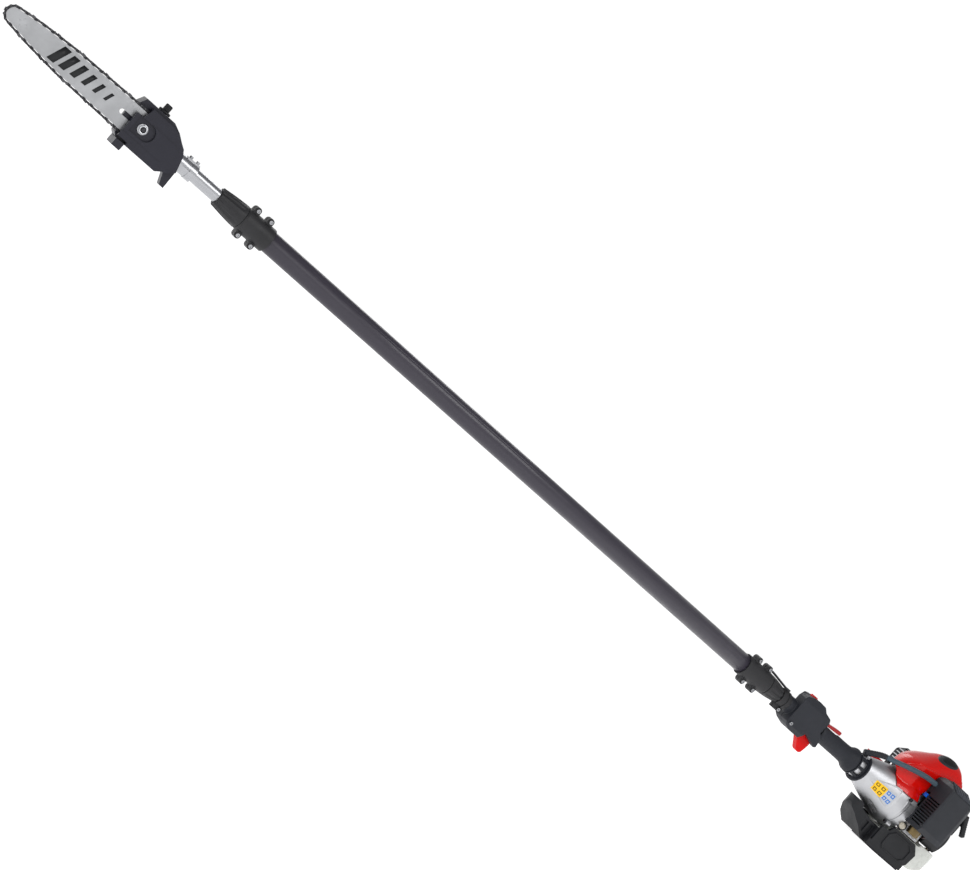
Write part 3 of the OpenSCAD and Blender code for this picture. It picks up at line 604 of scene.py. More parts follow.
# harness ring: one bent wire
ring_pts = []
RX, RH = 418.0, 19.0  # hinge of the ring
RL = math.hypot(57, 7.5)  # length of the ring
RA = math.atan2(7.5, 57)  # its slope at rest
RING_HALF = 8
corner = 4.0
for cx, cy, a0 in ((RL - corner, RING_HALF - corner, 0), (corner, RING_HALF - corner, 90),
                   (corner, -RING_HALF + corner, 180), (RL - corner, -RING_HALF + corner, 270)):
    for k in range(9):
        a = math.radians(a0 + k * 90 / 8)
        lx = cx + corner * math.cos(a)
        ly = cy + corner * math.sin(a)
        ring_pts.append(Vector((RX + lx * math.cos(RA), ly, RH + lx * math.sin(RA))))
put(tube("harness_ring_skin", ring_pts, 1.45, 14, closed=True), "screw_steel", "harness_loop",
    "harness_ring", mat=DARK_STEEL)
put(knob("harness_pin", (RX, -7.6, RH), (0, 1, 0), [(0, 0.9), (0.3, 1.3), (14.9, 1.3), (15.2, 0.9)], 16),
    "screw_steel", "harness_loop", mat=DARK_STEEL)

# ---------------------------------------------------------------- control handle
for n in ("control_left", "control_right"):
    ob = moulded(cad_copy(n), 0.7, 7, 0.6)
    put(ob, SLOT_OF[n], "powerhead", n)
TRIGGER = [(333, -16), (336, -30), (333.5, -34.5), (326, -43), (316, -55), (312, -57.5),
           (306, -57.5), (302, -54), (299.5, -42), (298.5, -33), (300, -23), (320, -15.5)]
LOCKOUT = [(306.5, 17.5), (306.5, 21.5), (300, 22.5), (280, 24.6), (262, 26.6), (257.6, 26.8),
           (256, 25.2), (256, 20.8), (258, 19.2), (298, 17)]
trig = prism("trigger_skin", TRIGGER, -8.6, 8.6)
rounded(trig, 2.6, 4, 20)
put(trig, "trigger_red", "throttle", "trigger")
lock = prism("lockout_skin", LOCKOUT, -6.6, 6.6)
rounded(lock, 1.0, 3, 20)
put(lock, "lockout_red", "lockout", "lockout_lever")
for i in range(5):
    x = 261 + i * 3.4
    h = 26.6 - (x - 258) * 0.105
    b = box_at("lockout_rib_%d" % i, x, x + 1.5, -5.2, 5.2, h - 0.6, h + 0.45)
    put(rounded(b, 0.25, 2), "lockout_red", "lockout")


# ---------------------------------------------------------------- grip and vibration mount
def grip_wave(x, r, a):
    """Shallow lengthwise channels on the hand part, with a plain band at the trigger side."""
    if r < 17 or x < 214:
        return 0.0
    env = sm(x, 214, 222) * (1 - sm(x, 286, 294))
    side_band = sm(abs(math.sin(a)), 0.25, 0.6)
    return -0.22 * env * (0.5 + 0.5 * math.cos(44 * a)) * side_band


grip_prof = [(301, 13.2), (301, 17.9), (300.4, 18.5), (292, 18.5), (284, 18.3), (276, 18.25), (268, 18.3),
             (260, 18.35), (252, 18.35), (244, 18.3), (236, 18.3), (228, 18.35), (221, 18.5), (215, 18.8),
             (211, 19.3), (208, 20.1), (205, 21.3), (202, 22.8), (199.5, 24.2), (197.5, 25.0), (195.5, 25.4),
             (193, 25.4), (191.4, 25.0), (190.4, 24.2), (190.0, 23.0), (190, 13.2), (301, 13.2)]
grip = spin("rear_grip_skin", grip_prof, 176, grip_wave)
cut(grip, [box_at("c1", 289, 303, -10, 10, -30, -12.6), box_at("c2", 254, 303, -7.3, 7.3, 13.4, 30)])
put(grip, "grip_rubber", "powerhead", "rear_grip")

soft("antivibration_collar", 0.9, 3)
core = [(169, 19.6), (169, 22.4), (171, 23.2), (186.5, 23.2), (189, 22.2), (189, 19.6), (169, 19.6)]
put(spin("damper_core", core, 64, lambda x, r, a: 0.9 * math.cos(8 * a + math.pi) if r > 22.5 else 0.0),
    "cast_alloy", "powerhead")

# ---------------------------------------------------------------- conduit
hose_path = [(181, 3, 29), (171, 5, 35), (153, 15, 47), (134, 29, 54.5), (112, 42, 62.5), (90, 49, 68.5),
             (68, 51, 72.5), (52, 52, 74), (37, 52, 74.5)]
hose_pts = resample(catmull(hose_path, 12), 0.55)
put(tube("conduit_skin", hose_pts, lambda i: 5.05 + 0.42 * math.sin(2 * math.pi * i / 4.0), 24),
    "hose", "powerhead", "throttle_conduit")
BOOT_N = 84  # hose points under the ribbed boot
boot_pts = hose_pts[0:BOOT_N]
first = boot_pts[0] - (boot_pts[3] - boot_pts[0]).normalized() * 1.2


def boot_radius(i):
    ribs = 0.4 * math.sin(2 * math.pi * i / 5.5)
    return 6.5 - 0.8 * i / BOOT_N + ribs - 0.5 * sm(i, 80, BOOT_N)


boot = tube("conduit_boot", [first] + boot_pts, boot_radius, 28)
put(boot, "black_plastic", "powerhead", mat=MATS["filter_plastic"])


# ---------------------------------------------------------------- clutch housing
BELL_OUT = [(165, 27.4), (164.4, 28.3), (162, 29.2), (157, 30.5), (150, 32.4), (142, 34.8), (134, 37.2),
            (126, 39.5), (118, 41.8), (110, 44.1), (102, 46.4), (96, 48.1), (90, 49.9), (84, 51.6), (79, 53),
            (75, 54), (71, 54.9), (67.5, 55.7), (65.5, 56.1), (64.8, 56.3), (64.3, 56.9)]
BELL = ([(186, 18.4), (165.7, 18.4), (165.2, 19.2), (165, 20.5)] + BELL_OUT
        + [(57.2, 57), (56.4, 56.6), (56.4, 53), (75, 50.5), (100, 43.5), (130, 34.5), (153, 26), (153, 13.1),
           (186, 13.1), (186, 18.4)])


PANEL_DEPTH = 2.0
PANEL_AT = -2  # degrees round the bell


def panel_mask(x, a):
    """1 inside the arched panel on the bell's near side, 0 outside."""
    if not 80 < x < 152:
        return 0.0
    c = math.radians(PANEL_AT)
    d = (a - c + math.pi) % (2 * math.pi) - math.pi
    t = (150 - x) / 62.0
    half = 22.5 * math.sin(min(1.0, max(0.0, t)) * math.pi / 2) ** 0.8
    edge = half - abs(d) * 45.0
    return sm(edge, 0.0, 2.0) * sm(x, 84.0, 86.0)


def bell_wave(x, r, a):
    """The panel is sunk into the bell."""
    if r < 30:
        return 0.0
    return -PANEL_DEPTH * panel_mask(x, a)


def bell_surface(x, a):
    """Radius of the bell's outside."""
    prof = sorted(BELL_OUT)
    r = float(np.interp(x, [p[0] for p in prof], [p[1] for p in prof]))
    return r + bell_wave(x, r, a)


def dense(prof, step):
    """Add points along the outer part of a profile."""
    out = [prof[0]]
    for (x0, r0), (x1, r1) in zip(prof, prof[1:]):
        n = max(1, int(abs(x1 - x0) / step)) if min(r0, r1) > 29 and max(x0, x1) < 150 else 1
        for k in range(1, n + 1):
            out.append((x0 + (x1 - x0) * k / n, r0 + (r1 - r0) * k / n))
    return out


bell = spin("clutch_housing_skin", dense(BELL, 0.9), 360, bell_wave)
slits = []
for i in range(4):
    b = box_at("slit", 86 - 2 * i, 116 - 4 * i, -0.8, 0.8, 30, 64)
    b.data.transform(Matrix.Translation(-P(0, 0, 0)))
    b.data.transform(Matrix.Rotation(math.radians(-(142 + 5.5 * i)), 4, "X"))
    b.data.transform(Matrix.Translation(P(0, 0, 0)))
    slits.append(b)
cut(bell, slits)
for p in bell.data.polygons:
    p.use_smooth = True
wn = bell.modifiers.new("wn", "WEIGHTED_NORMAL")
wn.keep_sharp = True
put(bell, "cast_alloy", "powerhead", "clutch_housing")


PATCH_SINK = 0.6  # how far a patch reaches into the bell


def patch(name, x0, x1, a0, a1, lift, mat):
    """A thin plain label following the bell, from x0 to x1 and from a0 to a1 degrees."""
    nx, na = 24, 30
    top, low = [], []
    for i in range(nx + 1):
        x = x0 + (x1 - x0) * i / nx
        for j in range(na + 1):
            a = math.radians(a0 + (a1 - a0) * j / na)
            r = bell_surface(x, a)
            top.append((x, (r + lift) * math.cos(a), (r + lift) * math.sin(a)))
            low.append((x, (r - PATCH_SINK) * math.cos(a), (r - PATCH_SINK) * math.sin(a)))
    n = (nx + 1) * (na + 1)
    faces = []
    w = na + 1
    for i in range(nx):
        for j in range(na):
            k = i * w + j
            faces.append((k, k + 1, k + w + 1, k + w))
            faces.append((n + k, n + k + w, n + k + w + 1, n + k + 1))
    border = list(range(w)) + [i * w + na for i in range(1, nx + 1)]
    border += [nx * w + j for j in range(na - 1, -1, -1)] + [i * w for i in range(nx - 1, 0, -1)]
    m = len(border)
    for k in range(m):
        a, b = border[k], border[(k + 1) % m]
        faces.append((a, b, n + b, n + a))
    return put(make(name, top + low, faces), "cast_alloy", "powerhead", mat=mat)


# plain patches with small generic marks
yellow = plastic("patch_yellow", (0.78, 0.46, 0.004), (0.25, 0.35), 400, 0.00001, 0.05, 0.2)
ink = plastic("patch_ink", srgb("#3a2f14"), (0.3, 0.4), 400, 0.00001, 0.05)
blue = plastic("patch_blue", srgb("#2a6bb8"), (0.25, 0.35), 400, 0.00001, 0.05, 0.2)
pale = plastic("patch_pale", srgb("#aab0ba"), (0.25, 0.35), 400, 0.00001, 0.03, 0.2)
patch("label_warm", 110, 139, -25, 8, 0.25, yellow)
patch("label_pale", 88.5, 109, -25, 8, 0.25, pale)
for i, (lx, la) in enumerate(((131.5, -17), (131.5, -1), (117.5, -17), (117.5, -1))):
    patch("label_mark_%d" % i, lx - 4.2, lx + 4.2, la - 4.6, la + 4.6, 0.4, ink)
    patch("label_core_%d" % i, lx - 2.4, lx + 2.4, la - 2.6, la + 2.6, 0.52, yellow)
for i, (lx, la) in enumerate(((104, -17), (104, 0), (93.8, -17), (93.8, 0))):
    patch("label_dot_%d" % i, lx - 3.9, lx + 3.9, la - 5, la + 5, 0.4, blue)
    patch("label_eye_%d" % i, lx - 1.8, lx + 1.8, la - 2.4, la + 2.4, 0.52, pale)


# ---------------------------------------------------------------- red engine cover
# (x, value) tables: height of the top, and how far out the near and far sides stand
TOP = [(122, 50), (119, 56), (114, 66), (108, 74), (95, 85), (78, 95.5), (60, 106), (40, 118), (30, 124.8),
       (22, 129), (12, 132.2), (0, 133.6), (-10, 133.4), (-16, 132), (-19.5, 129), (-22.5, 122), (-25.5, 115),
       (-28.5, 111.2), (-33, 108.6), (-37, 105), (-40, 100.5)]
NEAR = [(122, 11), (118, 20), (112, 27), (104, 32.5), (95, 37), (85, 39.8), (75, 41.4), (60, 41.9),
        (-36, 41.9), (-40, 39.5)]
FAR = [(122, 9), (118, 2), (110, -7), (100, -16), (92, -23), (80, -33), (70, -41), (62, -46), (52, -47.8),
       (-36, -47.8), (-40, -46)]
COVER_FOOT = 22.5  # height of the skirt's foot
SKIRT_T, LEDGE_T = 0.22, 0.05  # shares of the way over: the skirt, then the ledge
LEDGE_RISE = 2.4
SHELL = 2.4  # wall of the cover
DOME_POWER = 2.2
SIDE_LEAN = 0.2
BELL_CLEAR = [(35, 58.2), (62, 58.2), (74, 55.8), (99.5, 48.6), (129, 39.3)]


def interp(tab, x):
    tab = sorted(tab)
    return float(np.interp(x, [t[0] for t in tab], [t[1] for t in tab]))


def ledge_h(x):
    """Height of the ledge between the skirt and the dome."""
    return min(interp(TOP, x) - 9, 84 + (78 - x) * 0.235)


def bell_clear(x):
    """Radius just outside the bell, where the cover's skirt runs."""
    return interp(BELL_CLEAR, x)


def cover_point(x, t, off=0.0):
    """t runs from 0 at the near side's foot, over the top at 0.5, to 1 at the far side's foot."""
    top = interp(TOP, x) - off
    w1 = interp(NEAR, x) - off
    w2 = interp(FAR, x) + off
    base = COVER_FOOT
    led = ledge_h(x)
    mid = 0.5 * (w1 + w2) * 0.25
    if t < SKIRT_T:
        h = base + (led - base) * t / SKIRT_T
        skirt = math.sqrt(max(0.0, (bell_clear(x) + 2.0 - off) ** 2 - h * h))
        return (x, w1 + max(0.0, skirt - w1) * sm(x, 40, 46), h)
    inset = 4.2 * sm(led - base, 2, 20) * (1 - sm(x, 96, 112))
    if t < 0.27:
        u = (t - SKIRT_T) / LEDGE_T
        return (x, w1 - inset * math.sin(u * math.pi / 2), led + LEDGE_RISE * (1 - math.cos(u * math.pi / 2)))
    if t > 0.78:
        return (x, w2, base + (led - base) * (1 - t) / SKIRT_T)
    if t > 0.73:
        u = (0.78 - t) / LEDGE_T
        return (x, w2 + inset * math.sin(u * math.pi / 2), led + LEDGE_RISE * (1 - math.cos(u * math.pi / 2)))
    u = (t - 0.27) / 0.46
    a = math.pi * u
    c, s = math.cos(a), math.sin(a)
    cy = math.copysign(abs(c) ** (2 / DOME_POWER), c)
    sy = abs(s) ** (2 / DOME_POWER)
    near, far = w1 - inset, w2 + inset
    y = mid + (near - mid) * cy if cy > 0 else mid + (mid - far) * cy
    h0 = led + LEDGE_RISE
    # the sides lean inwards towards a narrow top
    y = mid + (y - mid) * (1 - SIDE_LEAN * sy)
    return (x, y, h0 + (top - h0) * sy)


def cover_skin():
    """The cover as a shell: each ring runs over the outside and back along the inside."""
    xs = []
    x = 122.0
    while x > -40:
        xs.append(x)
        x -= 1.6 if (x > 100 or x < -15) else 3.0
    xs.append(-40.0)
    nt = 110
    outer = [[cover_point(x, j / nt) for j in range(nt + 1)] for x in xs]
    inner = [[cover_point(max(min(x, 119.5), -37.5), j / nt, SHELL) for j in range(nt + 1)] for x in xs]
    rings = [o + i[::-1] for o, i in zip(outer, inner)]
    return loft("engine_cover_skin", rings, caps=True)


cover = cover_skin()
bell_cut = spin("bell_cut", [(200, 5), (160, 28.5)] + BELL_CLEAR[::-1] + [(35, 5)], 96)
cut(cover, [bell_cut,
            box_at("k1", 88, 146, -17, 17, 20, 51),
            box_at("k2", -16, 39.5, 36, 70, 10, 48),
            box_at("k3", -6, 24, -60, -40, 50, 78),
            box_at("k4", 40, 130, -60, 12, 10, 57.5),
            box_at("k5", 30, 130, -60, -26, 10, 84),
            prism("k7", [(99, 10), (103, 25), (112, 44), (124, 58), (140, 58), (140, 10)], -60, 70),
            box_at("k6", -60, 130, -60, -30, 10, 40)])
rounded(cover, 0.5, 2, 50)
keep_largest(cover)
put(cover, "cover_red", "powerhead", "engine_cover")


def on_cover(name, x0, t0, ax, at, lift, slot_name, mat=None, rim=0.75):
    """A rounded badge shape lying on the cover's surface."""
    rows, segs = 10, 40
    verts = []

    def surf(x, t, up_by):
        p = Vector(cover_point(x, t))
        px = Vector(cover_point(x + 0.5, t)) - Vector(cover_point(x - 0.5, t))
        pt = Vector(cover_point(x, t + 0.004)) - Vector(cover_point(x, t - 0.004))
        nrm = px.cross(pt).normalized()
        if nrm.z < 0:
            nrm = -nrm
        return tuple(p + nrm * up_by)
    verts.append(surf(x0, t0, lift))
    for i in range(1, rows + 1):
        q = i / rows
        drop = lift if q < rim else lift - (lift + 0.5) * ((q - rim) / (1 - rim)) ** 2
        for j in range(segs):
            a = 2 * math.pi * j / segs
            verts.append(surf(x0 + ax * q * math.cos(a), t0 + at * q * math.sin(a), drop))
    faces = [(0, 1 + j, 1 + (j + 1) % segs) for j in range(segs)]
    for i in range(rows - 1):
        for j in range(segs):
            k = (j + 1) % segs
            faces.append((1 + i * segs + j, 1 + (i + 1) * segs + j, 1 + (i + 1) * segs + k, 1 + i * segs + k))
    base = 1 + (rows - 1) * segs
    faces.append(tuple(base + j for j in range(segs)))
    return put(make(name, verts, faces), slot_name, "powerhead", mat=mat)


on_cover("cover_vent_rim", 17, 0.435, 26, 0.092, 0.9, "black_plastic", MATS["filter_plastic"])
on_cover("cover_vent", 15, 0.432, 20.5, 0.068, 1.6, "black_plastic",
         plastic("vent_black", srgb("#0c0c0e"), (0.5, 0.7), 900, 0.0001, 0.2))

# ---------------------------------------------------------------- filter cover and carburettor
filt = cad_copy("filter_cover")
rounded(filt, 1.3, 3, 30)
put(filt, "filter_plastic", "powerhead", "filter_cover")


def top_h(y):
    """Height of the filter cover's sloping top."""
    return 101.0 + (86.0 - 101.0) * (y - 70) / 35.0


GRILLE_X0, GRILLE_X1 = -22.0, 27.0
GRILLE_Y0, GRILLE_Y1 = 72.5, 102.5


def clip(xa, ya, xb, yb):
    """The part of a slanted bar that lies between the grille's ends."""
    pts = []
    for t in np.linspace(0, 1, 61):
        x = xa + (xb - xa) * t
        if GRILLE_X0 <= x <= GRILLE_X1:
            pts.append((x, ya + (yb - ya) * t))
    return (pts[0], pts[-1]) if len(pts) > 1 else None


bars = []
for k in range(-10, 19):
    for s in (-1, 1):
        x0 = GRILLE_X0 + k * 5.2
        run = clip(x0, GRILLE_Y0, x0 + s * (GRILLE_Y1 - GRILLE_Y0) * 0.62, GRILLE_Y1)
        if run:
            pts = [Vector((x, y, top_h(y) + 0.1)) for x, y in run]
            bars.append(tube("bar", pts, 1.05, 8))
grille = join("filter_grille", bars)
# painted highlight: the grille bars get a lighter grey than the filter cover they belong to, standing for the
# light on their ridges
put(grille, "filter_plastic", "powerhead", mat=plastic("grille_lit_plastic", srgb("#3a3d44"), (0.35, 0.5)))
# painted shade: a near-black material for thin sheets put where openings show only shade
shade_black = plastic("painted_shade_black", srgb("#08080a"), (0.6, 0.8), 900, 0.0001, 0.2)
# painted shade: a dark sheet under the grille bars standing for the shade in the gaps
back = prism("filter_grille_shade", [(71, top_h(71) - 3.2), (103.5, top_h(103.5) - 3.2),
                                    (103.5, top_h(103.5) - 4.2), (71, top_h(71) - 4.2)],
             -23, 28, "front")
put(back, "filter_plastic", "powerhead", mat=shade_black)
frame_pts = [(-23, 71.5), (28, 71.5), (28, 103.3), (-23, 103.3)]
ring = []
for (xa, ya), (xb, yb) in zip(frame_pts, frame_pts[1:] + frame_pts[:1]):
    for t in np.linspace(0, 1, 12, endpoint=False):
        x, y = xa + (xb - xa) * t, ya + (yb - ya) * t
        ring.append(Vector((x, y, top_h(y) + 0.2)))
put(tube("filter_grille_frame", ring, 1.0, 8, closed=True), "filter_plastic", "powerhead")
# painted shade: a dark strip behind the choke lever, standing for the shade in its recess
put(box_at("choke_slot_shade", 33.2, 34.2, 47.2, 57.8, 5, 57), "filter_plastic", "powerhead", mat=shade_black)
# painted shade: a dark strip behind the filter cover's slots, standing for the shade in them
put(box_at("filter_slot_shade", 31.5, 32.5, 59.5, 101, -10, 52), "filter_plastic", "powerhead", mat=shade_black)
for i, (y, h) in enumerate(((53, -12), (98, -4))):
    head = [(0, 0.5), (0, 3.4), (1.4, 3.4), (1.9, 2.9), (1.9, 1.6), (0.9, 1.5), (0.9, 0.2), (0, 0.5)]
    s = knob("filter_screw_%d" % i, (38.6, y, h), (1, 0, 0), head, 20)
    put(s, "screw_steel", "powerhead", mat=DARK_STEEL)
soft("choke_lever", 0.9, 3)
soft("carburettor", 0.8, 2)
bulb = [(0, 3.0), (0, 4.6), (1.5, 4.9), (2.5, 6), (4.5, 6.8), (6.5, 6.8), (8, 6.1), (9.2, 4.5), (9.9, 2.4),
        (10.1, 0.2)]
clear = plastic("primer_clear", srgb("#a59f90"), (0.12, 0.2), 300, 0.00001, 0.04, 0.6)
PRIMER_AXIS = (0.62, 0.78, 0.05)
seat = [(0, 3), (0, 9.4), (4.6, 9.4), (5.6, 8.6), (5.6, 3)]
put(knob("primer_bulb", (31, 50, -30), PRIMER_AXIS, bulb, 32), "tank_plastic", "powerhead", mat=clear)
put(knob("primer_seat", (27.5, 45.6, -30.3), PRIMER_AXIS, seat, 32), "black_plastic", "powerhead")

# ---------------------------------------------------------------- starter side
soft("starter_housing", 1.2, 3)
HANDLE_Y = 66
ROPE_X, ROPE_H = -74, 49.5
HANDLE_HALF = 23
ang = math.radians(34)
ax = Vector((math.sin(ang), 0, math.cos(ang)))
c = Vector((ROPE_X, HANDLE_Y, ROPE_H))
prof = []
for k in range(25):
    t = -HANDLE_HALF + 2 * HANDLE_HALF * k / 24
    e = abs(t) / HANDLE_HALF
    r = 5.6 + 0.7 * e ** 2
    if e > 0.9:
        r = 6.3 * math.sqrt(max(0.05, 1 - ((e - 0.9) / 0.1) ** 2 * 0.75))
    prof.append((t, r))
handle = knob("starter_handle_bar", tuple(c), tuple(ax), prof, 40)


def flatten(ob, share):
    """Thin a handle piece across its middle."""
    for v in ob.data.vertices:
        v.co.y = (HANDLE_Y + (v.co.y / MM - HANDLE_Y) * share) * MM


flatten(handle, 0.92)
neck = knob("starter_handle_neck", (ROPE_X, 52.2, ROPE_H), (0, 1, 0),
            [(0, 1.75), (0, 3.6), (0.6, 4.1), (4, 4.4), (8, 5.2), (12, 6.0), (12, 1.75), (0, 1.75)], 32)
put(join("starter_handle_skin", [handle, neck]), "black_plastic", "pull_handle", "starter_handle")
for i in range(7):
    t = -15 + i * 5
    p = c + t * ax
    ridge = knob("grip_ridge_%d" % i, tuple(p), tuple(ax),
                 [(-0.8, 5.3), (-0.5, 6.15), (0.5, 6.15), (0.8, 5.3), (-0.8, 5.3)], 36)
    flatten(ridge, 0.93)
    put(ridge, "black_plastic", "pull_handle")
rope_pts = [Vector((ROPE_X, y, ROPE_H)) for y in np.linspace(24, 60.5, 150)]
rope = tube("starter_rope_skin", rope_pts, lambda i: 1.5 + 0.09 * math.sin(i * 1.3), 16)
rope.data.materials.append(MATS["rope"])
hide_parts("starter_rope")
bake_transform(rope)

# ---------------------------------------------------------------- tank, guard, muffler
tank = moulded(cad_copy("fuel_tank"), 1.1, 10, 0.6)
put(tank, "tank_plastic", "powerhead", "fuel_tank")
soft("fuel_cap", 0.7, 2)
guard = cad_copy("tank_guard")
rounded(guard, 1.1, 2, 30)
put(guard, "black_plastic", "powerhead", "tank_guard")
RIB_LINE = [(30, -47), (-18, -47), (-31, -58), (-31, -80), (-20, -90), (34, -90), (42, -82), (42, -58)]


def frame_ring(name, outline, width, y0, y1):
    """A raised rib following a closed outline on a side face."""
    pts = [Vector((x, 0, h)) for x, h in outline]
    cen = sum(pts, Vector()) / len(pts)
    inner = [p + (cen - p).normalized() * width * 1.25 for p in pts]
    n = len(pts)
    verts = []
    for src in (pts, inner):
        for y in (y0, y1):
            verts += [(p.x, y, p.z) for p in src]
    faces = []
    for i in range(n):
        k = (i + 1) % n
        a0, a1, b0, b1 = i, n + i, 2 * n + i, 3 * n + i
        c0, c1, d0, d1 = k, n + k, 2 * n + k, 3 * n + k
        faces += [(a0, c0, c1, a1), (b0, b1, d1, d0), (a1, c1, d1, b1), (a0, b0, d0, c0)]
    ob = make(name, verts, faces)
    rounded(ob, 0.8, 3, 30)
    return put(ob, "black_plastic", "powerhead")


frame_ring("guard_rib_near", RIB_LINE, 3.4, 49.6, 51.8)
frame_ring("guard_rib_far", RIB_LINE, 3.4, -49.6, -51.8)
soft("muffler_cover", 2.2, 3)
soft("crankcase", 0.8, 2)
soft("engine_cylinder", 0.4, 2)
# fuel lines
line_mat = plastic("fuel_line", srgb("#2a1a1c"), (0.3, 0.4), 500, 0.00003, 0.1)
FUEL_LINE = [(-30, 46, -22), (-52, 40, -14), (-74, 34, -12), (-90, 26, -20), (-93, 18, -30),
             (-88, 12, -37)]
RETURN_LINE = [(-6, 52, -28), (-14, 44, -34), (-28, 36, -31), (-40, 30, -34), (-48, 24, -36)]
FITTING = [(-0.5, 1), (-0.5, 4.6), (2.5, 4.6), (3, 4), (3, 2.6), (7, 2.4), (7, 1)]
for name, route, radius, mat in (("fuel_line", FUEL_LINE, 2.2, line_mat),
                                ("return_line", RETURN_LINE, 1.9, clear)):
    put(tube(name, resample(catmull(route, 12), 1.6), radius, 14), "tank_plastic", "powerhead", mat=mat)
for i, (x, y, h) in enumerate(((-88, 12, -36), (-48, 24, -36))):
    put(knob("line_fitting_%d" % i, (x, y, h), (0, 0, 1), FITTING, 24), "brass", "powerhead")

# ---------------------------------------------------------------- saw head
soft("gearbox_housing", 1.2, 3)
soft("bar_cover", 1.3, 3)
soft("oil_tank", 2.0, 3)
soft("guide_bar", 0.35, 2)


def spur(name, cx, cy, h0, h1, r, teeth, depth, slot_name, body):
    """A knurled round knob standing upright."""
    segs = teeth * 8
    rings = []
    levels = [(0, -0.8), (0.05, -0.1), (0.1, 0), (0.85, -0.15), (0.95, -0.7), (1.0, -1.8)]
    for t, d in levels:
        ring = []
        for j in range(segs):
            a = 2 * math.pi * j / segs
            q = r + d - depth * (0.5 - 0.5 * math.cos(teeth * a)) * (1 if 0.02 < t < 0.97 else 0.6)
            ring.append((cx + q * math.cos(a), cy + q * math.sin(a), h0 + (h1 - h0) * t))
        rings.append(ring)
    return put(loft(name, rings), slot_name, body)


OIL_CAP = (2039, -12, 0)
UP = (0, 0, 1)
flange = [(34, 4), (34, 5.5), (41.4, 5.5), (41.4, 10.2), (42, 10.8), (44.6, 10.8), (45.3, 10.2), (46, 8.2),
          (46, 4)]
seal = [(40.6, 6), (40.6, 9.2), (41.6, 9.4), (41.6, 6), (40.6, 6)]
cap_neck = knob("oil_cap_flange", OIL_CAP, UP, flange, 48)
put(cap_neck, "black_plastic", "oil_cap_body", "oil_cap")
spur("oil_cap_knob", OIL_CAP[0], OIL_CAP[1], 45.6, 56.9, 6.4, 10, 0.9, "black_plastic", "oil_cap_body")
put(knob("oil_cap_seal", OIL_CAP, UP, seal, 48), "ceramic", "oil_cap_body", mat=pale)

# flange nut on the bar stud
STUD = (2055, 0, 0)
NUT_R = 7.6
NUT_TURN = 12  # degrees
corners = [math.radians(60 * k + NUT_TURN) for k in range(6)]
hexagon = [(NUT_R * math.cos(a), NUT_R * math.sin(a)) for a in corners]
nut = prism("bar_nut_skin", [(STUD[0] + x, h) for x, h in hexagon], 24.6, 30.4)
rounded(nut, 0.7, 2, 30)
cut(nut, [knob("k", (STUD[0], 22, 0), (0, 1, 0), [(0, 4.1), (10, 4.1)], 40),
          knob("k2", (STUD[0], 29.2, 0), (0, 1, 0), [(0, 4.1), (2, 5.6)], 40)])
put(nut, "screw_steel", "saw_head", "bar_stud_nut", mat=metal("nut_zinc", (0.5, 0.51, 0.53), (0.15, 0.28)))
washer = [(0, 4.2), (0, 9.2), (0.8, 9.4), (2.1, 8.8), (2.4, 4.2), (0, 4.2)]
put(knob("bar_nut_washer", (STUD[0], 22.9, 0), (0, 1, 0), washer, 48), "screw_steel", "saw_head")
thread = [(-5, 0.3), (-5, 3.2), (-4.5, 3.8)]
thread += [(24 + 0.5 * k, 3.85 if k % 2 else 3.5) for k in range(13)] + [(30.6, 3.3), (31, 2.6), (31, 0.3)]
put(knob("bar_stud_skin", STUD, (0, 1, 0), thread, 36), "screw_steel", "saw_head", mat=DARK_STEEL)

# plain slanted stripes painted on the bar
BAR_Y = 14.0
BAR_FACE = 16.0
NOSE_X, SPROCKET_X = 2312, 2015
paint = plastic("bar_paint", srgb("#17181a"), (0.35, 0.5), 700, 0.00005, 0.12)
for i in range(6):
    x0 = 2236 - 21 * i
    wide = 13.5 - 1.6 * i
    low, high = -15 + 2 * i, 16.5 - 1.2 * i
    lean = (high - low) * 0.35
    outline = [(x0, low), (x0 - wide, low), (x0 - wide - lean, high), (x0 - lean, high)]
    stripe = prism("bar_stripe_%d" % i, outline, BAR_FACE - 0.1, BAR_FACE + 0.04)
    put(stripe, "bar_steel", "saw_head", mat=paint)
# rivets in the bar nose
nose_rivet = [(0, 0.2), (0, 1.7), (0.22, 1.6), (0.35, 1.0), (0.38, 0.1)]
for i, (dx, h) in enumerate(((-12, 0), (-17, 6.2), (-17, -6.2), (-23, 0))):
    for s, side in ((1, "l"), (-1, "r")):
        at = (NOSE_X + dx, BAR_Y + s * 1.95, h)
        put(knob("nose_rivet_%d_%s" % (i, side), at, (0, s, 0), nose_rivet, 18), "bar_steel", "saw_head")

# ---------------------------------------------------------------- saw chain
# (x, radius) of the circles that the chain is stretched round
CIRCLES = [(NOSE_X, 11.4), (2267, 17.0), (2204, 21.6), (2070, 24.0), (SPROCKET_X, 10.0)]


def chain_line(off):
    """The convex line round the bar and sprocket, moved out by off."""
    pts = []
    for cx, r in CIRCLES:
        for k in range(720):
            a = 2 * math.pi * k / 720
            pts.append((cx + (r + off) * math.cos(a), (r + off) * math.sin(a)))
    pts = sorted(set(pts))

    def half(seq):
        out = []
        for p in seq:
            while len(out) > 1 and ((out[-1][0] - out[-2][0]) * (p[1] - out[-2][1])
                                    - (out[-1][1] - out[-2][1]) * (p[0] - out[-2][0])) <= 0:
                out.pop()
            out.append(p)
        return out[:-1]
    return [Vector((x, 0, h)) for x, h in half(pts) + half(pts[::-1])]


RIVET_OUT = 2.5  # from the bar's edge to the rivets
PITCH = 7.6
loop = chain_line(RIVET_OUT)
loop.append(loop[0].copy())
total = sum((b - a).length for a, b in zip(loop, loop[1:]))
rivets = resample(loop, total / (4 * round(total / PITCH / 4)))[:-1]
COUNT = len(rivets)
parts = {"drive": [], "strap": [], "cutter": [], "rivet": []}


